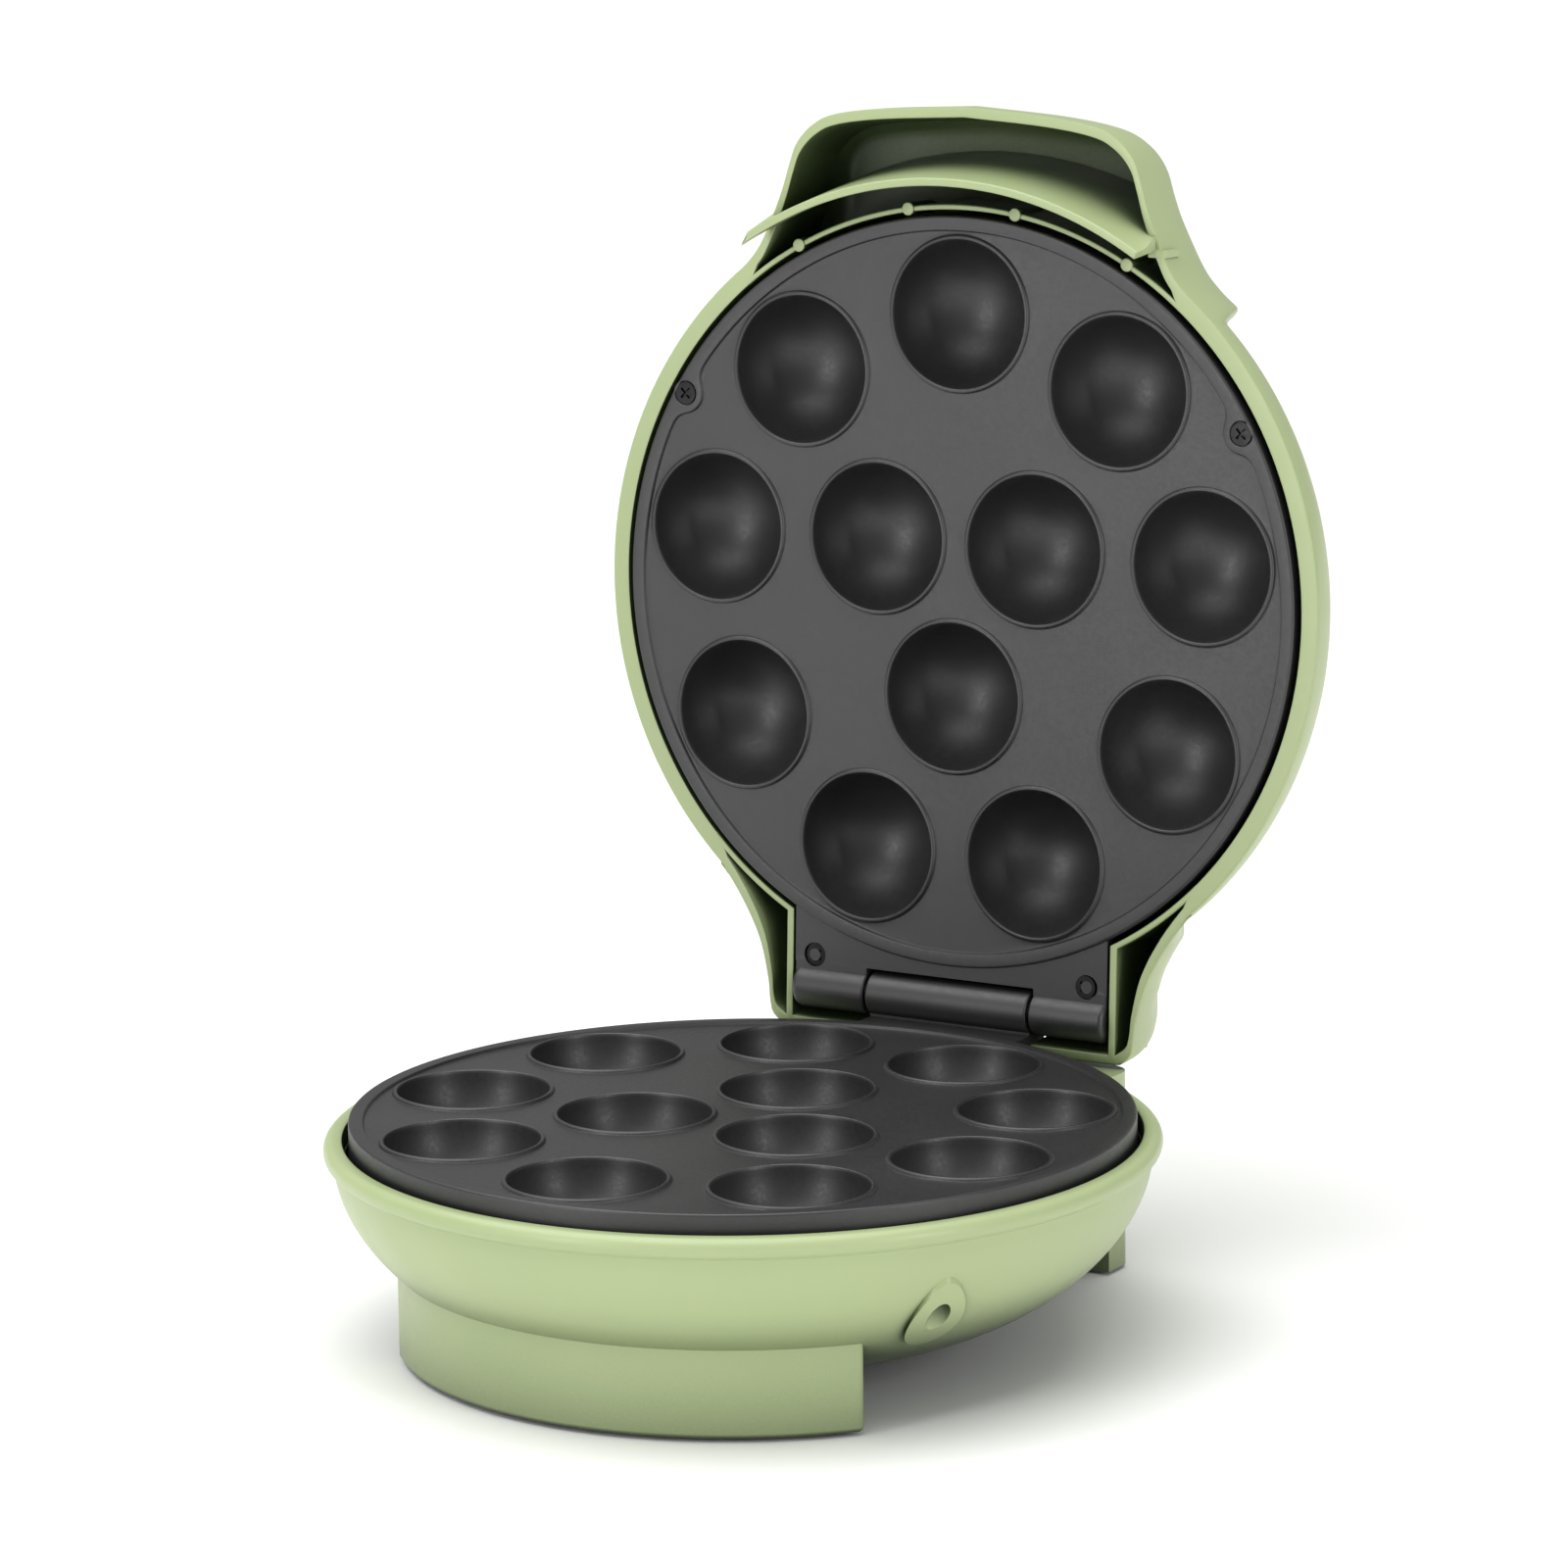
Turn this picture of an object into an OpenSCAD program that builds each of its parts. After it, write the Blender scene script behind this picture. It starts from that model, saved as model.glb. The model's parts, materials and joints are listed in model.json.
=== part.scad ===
// Clam-shell maker for small ball-shaped doughnuts: two round plates with twelve
// hemispherical cavities each, carried by a bowl-shaped base and a domed lid that
// are joined by one hinge at the back. It is drawn with the lid open on its stop.
// +Z is up, +X is the right-hand side and the front, with the handle, faces -Y.

/* [Plates] */
// Outer radius of both cooking plates
plate_r = 97; // [97:0.5:112]
// Thickness of a plate's skin
plate_skin = 3; // [2:0.25:3.5]
// Height of a plate's side wall, measured from its highest edge
plate_skirt = 12; // [10:0.5:13]
// Thickness of a plate's side wall
skirt_wall = 2.5; // [2:0.25:3]
// Width of the raised lip round a plate
lip_w = 3.8; // [3:0.1:4.5]
// Height of the lip and of the beads above the plate's face
lip_h = 0.9; // [0.6:0.1:1.2]
// Radius of one hemispherical cavity
cavity_r = 19; // [15:0.5:19.5]
// Width of the raised bead round a cavity
bead_w = 1.6; // [1:0.1:2]
// Thickness of a cavity's wall
cup_wall = 2.5; // [2:0.25:3]
// Distance of the outer cavities' centres from the plate's edge
cavity_inset = 25; // [23:0.5:26]
// Least space between the mouths of two outer cavities
cavity_land = 11; // [8:0.5:11]
// Radius of the inner ring of cavities
inner_ring_r = 26.5; // [25:0.5:27.5]
// Space between the two plates' lips when the lid is closed
plate_gap = 0.6; // [0.5:0.1:1.5]
// Distance of the ear screws from the plate's edge
ear_inset = 3.4; // [3:0.1:5]
// Angle of the ear screws from the front
ear_angle = 60; // [56:1:64]

/* [Housing] */
// Wall thickness of the housings
wall = 2.5; // [2:0.1:3]
// Space between a plate's side wall and the housing round it
plate_clear = 1.5; // [1:0.1:2]
// Width of the housings' rims
rim_w = 4.8; // [4:0.1:6]
// How far the lower plate stands above the base's rim
rim_drop = 4.5; // [3:0.25:5]
// Height of the base's rim
rim_h = 5; // [4:0.25:6]
// How far the base's wall steps in under the rim
rim_step = 2.4; // [1:0.2:3]
// Depth of the base's bowl below the lower plate's top
bowl_depth = 52; // [50:0.5:54]
// Radius of the bowl's flat floor
bowl_floor_r = 45; // [40:1:50]
// Height of the bowl's floor above the underside of the legs
floor_clear = 5.8; // [5:0.2:10]
// Height of the lid's rim above the lower plate's top when closed
lid_rim_z = 1.5; // [1:0.1:2]
// Height of the lid's crown above the lower plate's top when closed
lid_top_z = 42; // [40:0.5:50]
// Radius of the lid's flat crown
lid_crown_r = 24; // [20:1:30]

/* [Feet] */
// Radius of the front leg's curved wall
leg_r = 86.3; // [80:0.5:87]
// Half of the angle that the front leg spans
leg_half_angle = 50; // [44:1:54]
// Radial depth of the front leg
leg_depth = 20; // [17:0.5:24]
// Half of the width of the rear block and its legs
block_half_w = 52; // [50:0.5:54]
// How far the rear block reaches behind the hinge's axis
block_tail = 10.5; // [9.5:0.5:12]
// Depth of the rear legs from front to back
rear_leg_depth = 23.5; // [20:0.5:25]
// Height of a rubber foot below the legs
pad_h = 1; // [1:0.25:2]
// Radius of a rubber foot
pad_r = 5; // [4:0.25:6]

/* [Hinge] */
// Distance of the hinge's axis behind the housings' rims
hinge_offset = 3.7; // [3:0.1:5]
// Height of the hinge's axis above the lower plate's top
hinge_z = 4.7; // [4.5:0.1:5.5]
// Angle to which the lid opens
open_angle = 92.7; // [90:0.1:96]
// Radius of the hinge's barrels
knuckle_r = 5.8; // [5:0.1:6]
// Radius of the hinge pin
pin_r = 2.5; // [2:0.1:3]
// Radial clearance of the pin in the lid's barrels
pin_clear = 0.05; // [0.02:0.01:0.08]
// Length of the middle barrel
mid_barrel_w = 47.5; // [40:0.5:50]
// Length of each outer barrel
side_barrel_w = 21.5; // [18:0.5:23]
// Space between neighbouring barrels
barrel_gap = 0.8; // [0.5:0.1:1.2]
// How far the lid's tail reaches behind the hinge's axis
tail = 10.6; // [10:0.1:11]
// Space between the open lid's tail and the deck that stops it
stop_gap = 0.4; // [0.3:0.05:0.8]

/* [Handle] */
// How far the handle's front stands out from the lid's rim
hood_reach = 21.4; // [19:0.2:26]
// Half of the handle's width where it leaves the lid
hood_root_w = 64; // [62:0.5:66]
// Half of the handle's width at its front corners
hood_front_w = 51; // [49:0.5:54]
// Radius of the handle's front corners
hood_corner_r = 12; // [8:1:15]
// Height of the handle's front wall above the lid's rim
hood_h = 24; // [20:0.5:27]
// Wall thickness of the handle
hood_wall = 2.8; // [2.4:0.1:3.2]
// Distance of the finger guard's free edge from the lid's rim
guard_offset = 1.7; // [1.5:0.1:2.7]
// How far the finger guard hangs below the lid's rim
guard_drop = 10.5; // [8:0.5:12]
// How far the finger guard leans out over its height
guard_lean = 5; // [3:0.5:6]
// Thickness of the finger guard
guard_wall = 2.1; // [1.8:0.1:2.4]

/* [Inside] */
// Radius of the ring that a heating element is bent to
element_r = 49.5; // [49:0.25:50]
// Radius of a heating element's tube
element_tube_r = 3.25; // [3:0.25:3.5]
// Distance of the dish behind a heating element from the plate's edge
reflector_inset = 15; // [13:0.5:18]
// Thickness of the dish's sheet
reflector_t = 0.8; // [0.5:0.1:1]
// Radius of a small screw's shank
screw_r = 1.5; // [1.25:0.05:1.6]
// Radius of a small screw's head
screw_head_r = 2.9; // [2.6:0.1:3]
// Radius of the mains cord that the inlet takes
cord_r = 3.5; // [3:0.25:4]

/* [Hidden] */
$fn = 64;
eps = 0.01;
big = 300;

outer_ring_r = plate_r - cavity_inset;
outer_count = floor(180 / asin((cavity_r + cavity_land / 2) / outer_ring_r));
inner_count = 3;
outer_cavities = [for (i = [0:outer_count - 1]) -90 + i * 360 / outer_count];
inner_cavities = [for (i = [0:inner_count - 1]) 90 + i * 360 / inner_count];
ear_angles = [-90 - ear_angle, -90 + ear_angle];

// Housing sizes that follow the plates
ear_ring_r = plate_r - ear_inset;
ring_r = plate_r + plate_clear;
rim_r = ring_r + rim_w;
hinge_y = rim_r + hinge_offset;
block_r = hinge_y + block_tail;
hood_front = rim_r + hood_reach;
guard_r = rim_r + guard_offset;
face_h = bowl_depth + floor_clear;
bowl_r = rim_r - rim_step;
bowl_top_z = -rim_drop - rim_h;
lid_ring_wall = 1.5;
hood_gap_r = ring_r + lid_ring_wall;
neck_end_w = mid_barrel_w / 2 + barrel_gap + side_barrel_w + 7.5;
neck_corner_r = 6;
neck_end_steps = [0, 1.5, 5, 12];
neck_height_steps = [0, 0.5, 0.85, 1];
neck_y = hinge_y + tail;
neck_h = 27;
neck_flare_w = 66;
neck_flare_y = sqrt(rim_r * rim_r - neck_flare_w * neck_flare_w);

// Hinge layout
hinge_w = mid_barrel_w + 2 * (barrel_gap + side_barrel_w);
side_barrel_x = mid_barrel_w / 2 + barrel_gap;
leaf_t = 3.4;
leaf_z = -lip_h - leaf_t;
tab_z = plate_gap + lip_h;
tab_half_w = hinge_w / 2;
tab_screw_x = tab_half_w - 6.3;
tab_screw_y = hinge_y - 8.8;
deck_z = hinge_z - tail - (block_r - hinge_y) * tan(open_angle - 90) - stop_gap;
leaf_boss_r = 4;
leaf_boss_x = 14;
leaf_boss_y = hinge_y + 1.6;

// Heights inside the plates, measured down from a plate's highest edge
skin_z = lip_h + plate_skin;
element_z = 14;
rib_half_w = 5;
seat_clear = 0.05;
pillar_r = 4.6;
pillar_h = 16;
reflector_z = cavity_r + cup_wall + 1.5;
reflector_r = plate_r - reflector_inset;
reflector_post_ring_r = outer_ring_r + 4;
reflector_post_r = 3.2;
reflector_rim_h = 2.5;
screw_clear = 0.1;
thread_r = screw_r - 0.05;
head_h = 2.2;
element_gap_angle = 12;
element_pin_at = polar(element_r, 90 - element_gap_angle - 4);
element_drop = 8;
element_pin_z = -33;
clip_angles = [-70, 50, 170];
sensor_ring_r = 30;
sensor_angles = [30, 150];
sensor_pad_z = 8;
fuse_z = -sensor_pad_z - 2.4;
fuse_lead = 8.5;
fuse_wire_x = 11;
tab_blade_x = 3.4;
tab_blade_z = -sensor_pad_z - 17;
wire_r = 1.1;
wire_sides = 8;

// Places in the base
rear_leg_y = block_r - rear_leg_depth;
block_lap = 22;
rear_leg_w = 14;
block_floor_z = -40;
leg_top_z = -31;
tunnel_r = 5.8;
tunnel_proud = 3;
tunnel_flare_r = 10.4;
tunnel_tip_r = 2.3;
tunnel_h = 24;
tunnel_seat_z = -20.5;
leg_boss_h = 12;
pad_seat = 2;
leg_pad_angle = 42;
leg_pad_x = (leg_r - leg_depth / 2) * sin(leg_pad_angle);
leg_pad_y = -(leg_r - leg_depth / 2) * cos(leg_pad_angle);
rear_pad_x = block_half_w - rear_leg_w / 2;
rear_pad_y = rear_leg_y + rear_leg_w / 2;
inlet_x = 0;
inlet_z = -24;
inlet_r = cord_r + 2.5;
inlet_gap = 0.45;
terminal_y = 40;
terminal_half = 19;
terminal_pitch = 9;
terminal_h = 11;
terminal_lift = 3;
terminal_post_x = 12;
terminal_base_z = -bowl_depth + wall + terminal_lift;

// Places in the lid
hood_bulge = 2.5;
hood_root_y = sqrt(rim_r * rim_r - hood_root_w * hood_root_w) - 1;
hood_ridge_y = 62;
hood_ridge_w = 38;
hood_rise = 9;
guard_half_angle = 35.5;
band_gap_angle = 37;
ring_peg_r = 1.75;
ring_peg_angles = [for (a = [-28.5, -9, 9, 28.5]) a - 90];
neck_rib_y = sqrt(ring_r * ring_r - tab_half_w * tab_half_w) + 0.5;
lamp_x = 9;
lamp_y = -8;
lens_r = 4;
lamp_plate_z = lid_top_z - 11;

// The frame's origin is at the middle of the open object's footprint, on the ground
ground_z = face_h + pad_h;
lid_back_y = hinge_y + (lid_top_z - hinge_z) * sin(open_angle)
    + (hinge_y + lid_crown_r) * sin(open_angle - 90);
mid_y = (lid_back_y - rim_r) / 2;

green = "#bcca90";
plate_black = "#39393b";
steel = "#c9ccd0";
rubber = "#4a4a4a";

// A point on a rounded section that runs from [r0, z0], upright, to [r1, z1], level
function round_pt(r0, z0, r1, z1, p, t) =
    [r1 + (r0 - r1) * pow(cos(t), p), z0 + (z1 - z0) * pow(sin(t), p)];
function round_pts(r0, z0, r1, z1, p, n = 14) =
    [for (i = [0:n]) round_pt(r0, z0, r1, z1, p, 90 * i / n)];
function polar(r, a) = [r * cos(a), r * sin(a), 0];

module on_base() {
    translate([0, -mid_y, ground_z]) children();
}

module on_lid() {
    on_base() translate([0, hinge_y, hinge_z]) rotate([-open_angle, 0, 0])
        translate([0, -hinge_y, -hinge_z]) children();
}

// Turns a shape that is drawn for the lower plate into the upper plate's
module face_down() {
    translate([0, 0, plate_gap]) mirror([0, 0, 1]) children();
}

module at_polar(r, angles) {
    for (a = angles) translate(polar(r, a)) children();
}

module at_cavities() {
    at_polar(outer_ring_r, outer_cavities) children();
    at_polar(inner_ring_r, inner_cavities) children();
}

module both_sides() {
    children();
    mirror([1, 0, 0]) children();
}

module tube(r_out, r_in, z0, z1) {
    translate([0, 0, z0]) difference() {
        cylinder(r = r_out, h = z1 - z0);
        translate([0, 0, -1]) cylinder(r = r_in, h = z1 - z0 + 2);
    }
}

module disc(r, z0, z1) {
    translate([0, 0, z0]) cylinder(r = r, h = z1 - z0);
}

// A cylinder that lies along X
module bar(r, x0, x1) {
    translate([x0, 0, 0]) rotate([0, 90, 0]) cylinder(r = r, h = x1 - x0);
}

module box(x0, x1, y0, y1, z0, z1) {
    translate([x0, y0, z0]) cube([x1 - x0, y1 - y0, z1 - z0]);
}

module sector(r0, r1, a0, a1, z0, z1) {
    rotate([0, 0, a0]) rotate_extrude(angle = a1 - a0)
        translate([r0, z0]) square([r1 - r0, z1 - z0]);
}

// A pan-head screw: the head stands on z = 0 and the shank goes down
module screw(r, head_r, length) {
    difference() {
        union() {
            cylinder(r = head_r, h = head_h - 0.8);
            translate([0, 0, head_h - 0.8]) cylinder(r1 = head_r, r2 = head_r * 0.72, h = 0.8);
        }
        for (a = [45, 135]) rotate([0, 0, a])
            translate([-head_r * 0.62, -0.35, head_h - 1.3]) cube([head_r * 1.24, 0.7, 2]);
    }
    translate([0, 0, -length]) cylinder(r = r, h = length + eps);
}

/* ---- cooking plates ---- */

module cooking_plate() {
    difference() {
        union() {
            disc(plate_r, -skin_z, -lip_h);
            tube(plate_r, plate_r - lip_w, -skin_z, 0);
            tube(plate_r, plate_r - skirt_wall, -plate_skirt, 0);
            at_cavities() disc(cavity_r + bead_w, -skin_z, 0);
            intersection() {
                at_cavities() sphere(r = cavity_r + cup_wall);
                disc(plate_r, -cavity_r - cup_wall, -lip_h - eps);
            }
            tube(element_r + rib_half_w, element_r - rib_half_w, -element_z, -lip_h - 1);
            intersection() {
                disc(plate_r, -pillar_h, 0);
                at_polar(ear_ring_r, ear_angles) disc(pillar_r, -pillar_h, -lip_h - 1);
            }
            at_polar(reflector_post_ring_r, reflector_post_angles())
                disc(reflector_post_r, -reflector_z, -lip_h - 1);
            at_polar(sensor_ring_r, sensor_angles) disc(6, -sensor_pad_z, -lip_h - 1);
            children();
        }
        at_cavities() sphere(r = cavity_r);
        translate([0, 0, -element_z]) rotate_extrude()
            translate([element_r, 0]) circle(r = element_tube_r + seat_clear);
        at_polar(reflector_post_ring_r, reflector_post_angles())
            disc(screw_r, -reflector_z - 1, -reflector_z + 9);
    }
}

// The posts stand half-way between neighbouring outer cavities
function reflector_post_angles() = [for (i = [1, 4, 7]) -90 + (i + 0.5) * 360 / outer_count];

module lower_plate() {
    leaf_back = hinge_y + knuckle_r - 0.6;
    color(plate_black) on_base() difference() {
        cooking_plate() {
            box(-mid_barrel_w / 2, mid_barrel_w / 2, plate_r - 6, leaf_back, leaf_z, -lip_h);
            box(-mid_barrel_w / 2, mid_barrel_w / 2, hinge_y - 3, leaf_back, leaf_z, hinge_z);
            translate([0, hinge_y, hinge_z]) bar(knuckle_r, -mid_barrel_w / 2, mid_barrel_w / 2);
            both_sides() translate([leaf_boss_x, leaf_boss_y, 0])
                disc(leaf_boss_r, deck_z, leaf_z + 1);
        }
        translate([0, hinge_y, hinge_z]) bar(pin_r, -mid_barrel_w, mid_barrel_w);
        at_polar(ear_ring_r, ear_angles) disc(screw_r, -pillar_h - 1, -skin_z - 1);
        both_sides() translate([leaf_boss_x, leaf_boss_y, 0])
            disc(screw_r, deck_z - 1, leaf_z + 2.4);
    }
}

module upper_plate() {
    tab_back = hinge_y;
    notch_y = hinge_y - knuckle_r - 1;
    color(plate_black) on_lid() difference() {
        union() {
            face_down() cooking_plate() {
                intersection() {
                    disc(plate_r, -skin_z, 0);
                    at_polar(ear_ring_r, ear_angles) disc(pillar_r + 1, -skin_z, 0);
                }
            }
            box(-tab_half_w, tab_half_w, plate_r * 0.86, notch_y, tab_z, tab_z + leaf_t);
            both_sides() {
                box(side_barrel_x, tab_half_w, notch_y - 1, tab_back, tab_z, tab_z + leaf_t);
                translate([0, hinge_y, hinge_z]) bar(knuckle_r, side_barrel_x, tab_half_w);
            }
        }
        face_down() at_cavities() sphere(r = cavity_r);
        translate([0, hinge_y, hinge_z]) bar(pin_r + pin_clear, -tab_half_w - 1, tab_half_w - 2.5);
        face_down() at_polar(ear_ring_r, ear_angles) screw_hole(pillar_h + 1);
        both_sides() translate([tab_screw_x, tab_screw_y, tab_z])
            mirror([0, 0, 1]) screw_hole(leaf_t + 2);
    }
}

// A stepped hole for a screw whose head sits below z = 0
module screw_hole(depth) {
    disc(screw_r + screw_clear, -depth, 1);
    disc(screw_head_r + 0.3, -1.2, 1);
}

/* ---- base ---- */

module bowl_solid(inset) {
    rotate_extrude($fn = 96) polygon(concat(
        [[0, bowl_top_z + 2], [bowl_r - inset, bowl_top_z + 2]],
        round_pts(bowl_r - inset, bowl_top_z, bowl_floor_r - inset / 2, -bowl_depth + inset, 1.1),
        [[0, -bowl_depth + inset]]));
}

// The rim is a rounded band that stands a step proud of the bowl
module base_rim() {
    rotate_extrude($fn = 96) difference() {
        union() {
            translate([ring_r, bowl_top_z]) square([rim_w - rim_h / 2, rim_h]);
            intersection() {
                translate([rim_r - rim_h / 2, bowl_top_z + rim_h / 2]) circle(r = rim_h / 2);
                translate([ring_r, bowl_top_z]) square([rim_w, rim_h]);
            }
            translate([bowl_r - wall, bowl_top_z - 1]) square([wall, 3]);
        }
        translate([0, bowl_top_z - 2]) square([ring_r, rim_h + 4]);
    }
}

module block_plan(inset) {
    corner = 6;
    offset_r = block_r - corner - inset;
    half = block_half_w - corner - inset;
    corner_y = sqrt(offset_r * offset_r - half * half);
    intersection() {
        circle(r = block_r - inset);
        union() {
            translate([-half - corner, 0]) square([2 * (half + corner), corner_y]);
            for (s = [-1, 1]) translate([s * half, corner_y]) circle(r = corner);
            translate([-half, 0]) square([2 * half, block_r]);
        }
    }
}

module block_slice(inset, y0, z0, z1) {
    translate([0, 0, z0]) linear_extrude(z1 - z0) difference() {
        block_plan(inset);
        translate([-big / 2, y0 - big]) square([big, big]);
    }
}

module front_leg(inset, z0, z1) {
    a = leg_half_angle - inset / leg_r * 180 / PI;
    sector(leg_r - leg_depth + inset, leg_r - inset, -90 - a, -90 + a, z0, z1);
}

module rear_legs(inset, z0, z1) {
    intersection() {
        block_slice(inset, rear_leg_y + inset, z0, z1);
        both_sides() box(block_half_w - rear_leg_w + inset, big, 0, big, z0, z1);
    }
}

module base_housing() {
    color(green) on_base() difference() {
        union() {
            difference() {
                union() {
                    difference() {
                        union() {
                            front_leg(0, -face_h, leg_top_z);
                            rear_legs(0, -face_h, deck_z);
                        }
                        front_leg(wall, -face_h - 1, leg_top_z - 4);
                        rear_legs(wall, -face_h - 1, block_floor_z - 1);
                    }
                    bowl_solid(0);
                    base_rim();
                    block_slice(0, rear_leg_y - block_lap, block_floor_z, deck_z);
                    intersection() {
                        at_polar(ear_ring_r, ear_angles) translate([0, 0, -pillar_h - tunnel_h])
                            cylinder(r1 = tunnel_flare_r, r2 = tunnel_tip_r, h = tunnel_h);
                        bowl_solid(-tunnel_proud);
                    }
                }
                difference() {
                    union() {
                        bowl_solid(wall);
                        disc(ring_r, bowl_top_z - 1, 1);
                        block_slice(wall, 0, block_floor_z + wall, deck_z - wall);
                    }
                    at_polar(ear_ring_r, ear_angles) disc(tunnel_r, -bowl_depth, -pillar_h - 0.2);
                    terminal_posts();
                }
                at_polar(ear_ring_r, ear_angles) {
                    disc(screw_r + screw_clear, -bowl_depth, 0);
                    disc(screw_head_r + 0.5, -bowl_depth - 1, tunnel_seat_z);
                }
                both_sides() translate([leaf_boss_x, leaf_boss_y, 0])
                    disc(screw_r + screw_clear, deck_z - wall - 1, deck_z + 1);
                translate([inlet_x, block_r, inlet_z]) rotate([90, 0, 0])
                    translate([0, 0, -10]) cylinder(r = inlet_r + 0.1, h = 30);
            }
            at_pads() disc(pad_r + 1.5, -face_h, -face_h + leg_boss_h);
        }
        at_pads() disc(pad_r + 0.1, -face_h - 1, -face_h + pad_seat);
    }
}

// Two posts on the bowl's floor carry the terminal block
module terminal_posts() {
    both_sides() translate([terminal_post_x, terminal_y, 0]) disc(3, -bowl_depth, terminal_base_z);
}

// Over each rubber foot
module at_pads() {
    both_sides() translate([leg_pad_x, leg_pad_y, 0]) children();
    both_sides() translate([rear_pad_x, rear_pad_y, 0]) children();
}

module foot_pad() {
    disc(pad_r, -face_h - pad_h, -face_h + pad_seat);
}

module front_foot_pads() {
    color(rubber) on_base() both_sides() translate([leg_pad_x, leg_pad_y, 0]) foot_pad();
}

module rear_foot_pads() {
    color(rubber) on_base() both_sides() translate([rear_pad_x, rear_pad_y, 0]) foot_pad();
}

module lower_plate_screws() {
    length = -skin_z - 3 - tunnel_seat_z;
    color(steel) on_base() at_polar(ear_ring_r, ear_angles)
        translate([0, 0, tunnel_seat_z]) mirror([0, 0, 1]) screw(thread_r, screw_head_r, length);
}

module lower_leaf_screws() {
    color(steel) on_base() both_sides() translate([leaf_boss_x, leaf_boss_y, deck_z - wall])
        mirror([0, 0, 1]) screw(thread_r, screw_head_r, wall + 4);
}

module cord_inlet() {
    color(rubber) on_base() translate([inlet_x, block_r, inlet_z]) rotate([90, 0, 0]) difference() {
        union() {
            translate([0, 0, -3]) cylinder(r = inlet_r + 2.5, h = 3);
            translate([0, 0, -1]) cylinder(r = inlet_r, h = wall + 5);
            translate([0, 0, wall + inlet_gap]) cylinder(r = inlet_r + 1.8, h = 2.4);
        }
        translate([0, 0, -big / 2]) cylinder(r = cord_r + 0.2, h = big);
    }
}

module hinge_pin() {
    color(steel) on_base() translate([0, hinge_y, hinge_z])
        bar(pin_r - 0.01, -tab_half_w + 0.2, tab_half_w - 3);
}

/* ---- parts behind a plate, drawn for the lower plate ---- */

module element() {
    cold_r = element_tube_r - 0.25;
    translate([0, 0, -element_z]) rotate([0, 0, 90 + element_gap_angle])
        rotate_extrude(angle = 360 - 2 * element_gap_angle)
            translate([element_r, 0]) circle(r = element_tube_r);
    both_sides() translate(element_pin_at) {
        disc(cold_r, -element_z - element_drop, -element_z);
        disc(cold_r + 0.75, -element_z - element_drop - 4, -element_z - element_drop);
        disc(1.2, element_pin_z, -element_z - element_drop);
    }
}

// A steel strap that holds the element in its seat
module element_clips() {
    foot = 1;
    depth = element_z + element_tube_r;
    r0 = element_r - rib_half_w - 0.1;
    r1 = element_r + rib_half_w + 0.1;
    for (a = clip_angles) {
        sector(r0 - foot, r1 + foot, a - 4, a + 4, -depth - foot, -depth);
        sector(r0 - foot, r0, a - 4, a + 4, -depth, -element_z + 3);
        sector(r1, r1 + foot, a - 4, a + 4, -depth, -element_z + 3);
    }
}

module reflector() {
    sheet_z = -reflector_z - reflector_t;
    difference() {
        union() {
            disc(reflector_r, sheet_z, -reflector_z);
            tube(reflector_r, reflector_r - reflector_t, sheet_z, -reflector_z + reflector_rim_h);
        }
        both_sides() translate(element_pin_at)
            disc(element_tube_r + 1.5, -reflector_z - 5, -reflector_z + 1);
        at_polar(reflector_post_ring_r, reflector_post_angles())
            disc(screw_r + screw_clear, -reflector_z - 5, -reflector_z + 1);
        translate(polar(sensor_ring_r, sensor_angles[0])) disc(6, -reflector_z - 5, -reflector_z + 1);
        at_fuse() both_sides() translate([fuse_wire_x, 0, 0])
            disc(wire_r + 0.9, -reflector_z - 5, -reflector_z + 1);
    }
}

module reflector_screws() {
    at_polar(reflector_post_ring_r, reflector_post_angles())
        translate([0, 0, -reflector_z - reflector_t]) mirror([0, 0, 1])
            screw(thread_r, screw_head_r, 8);
}

module lower_element() { color(steel) on_base() element(); }
module upper_element() { color(steel) on_lid() face_down() element(); }
module lower_element_clips() { color(steel) on_base() element_clips(); }
module upper_element_clips() { color(steel) on_lid() face_down() element_clips(); }
module lower_reflector() { color(steel) on_base() reflector(); }
module upper_reflector() { color(steel) on_lid() face_down() reflector(); }
module lower_reflector_screws() { color(steel) on_base() reflector_screws(); }
module upper_reflector_screws() { color(steel) on_lid() face_down() reflector_screws(); }

// A thermal fuse in its sleeve, clipped under the sensor pad on the left
module fuse() {
    at_fuse() translate([0, 0, fuse_z]) {
        bar(2.2, -5.5, 5.5);
        bar(0.6, -fuse_lead, fuse_lead);
        box(-3, 3, -3.4, 3.4, -0.6, -sensor_pad_z - fuse_z);
    }
}

module at_fuse() {
    translate(polar(sensor_ring_r, sensor_angles[1])) rotate([0, 0, sensor_angles[1] - 90]) children();
}

module lower_fuse() { color(steel) on_base() fuse(); }
module upper_fuse() { color(steel) on_lid() face_down() fuse(); }

module thermostat() {
    color("#8a6a48") on_base() translate(polar(sensor_ring_r, sensor_angles[0])) {
        disc(6.8, -sensor_pad_z - 5, -sensor_pad_z);
        disc(5.6, -sensor_pad_z - 10, -sensor_pad_z - 5);
        both_sides() translate([tab_blade_x, 0, 0])
            box(-0.4, 0.4, -1.5, 1.5, tab_blade_z, -sensor_pad_z - 10);
    }
}

// A wire's direction along run i, and half-way between its two runs at point i
function unit(v) = v / norm(v);
function run_dir(pts, i) = unit(pts[i + 1] - pts[i]);
function bend_dir(pts, i) = i == 0 ? run_dir(pts, 0)
    : i == len(pts) - 1 ? run_dir(pts, i - 1)
    : unit(run_dir(pts, i - 1) + run_dir(pts, i));

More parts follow.
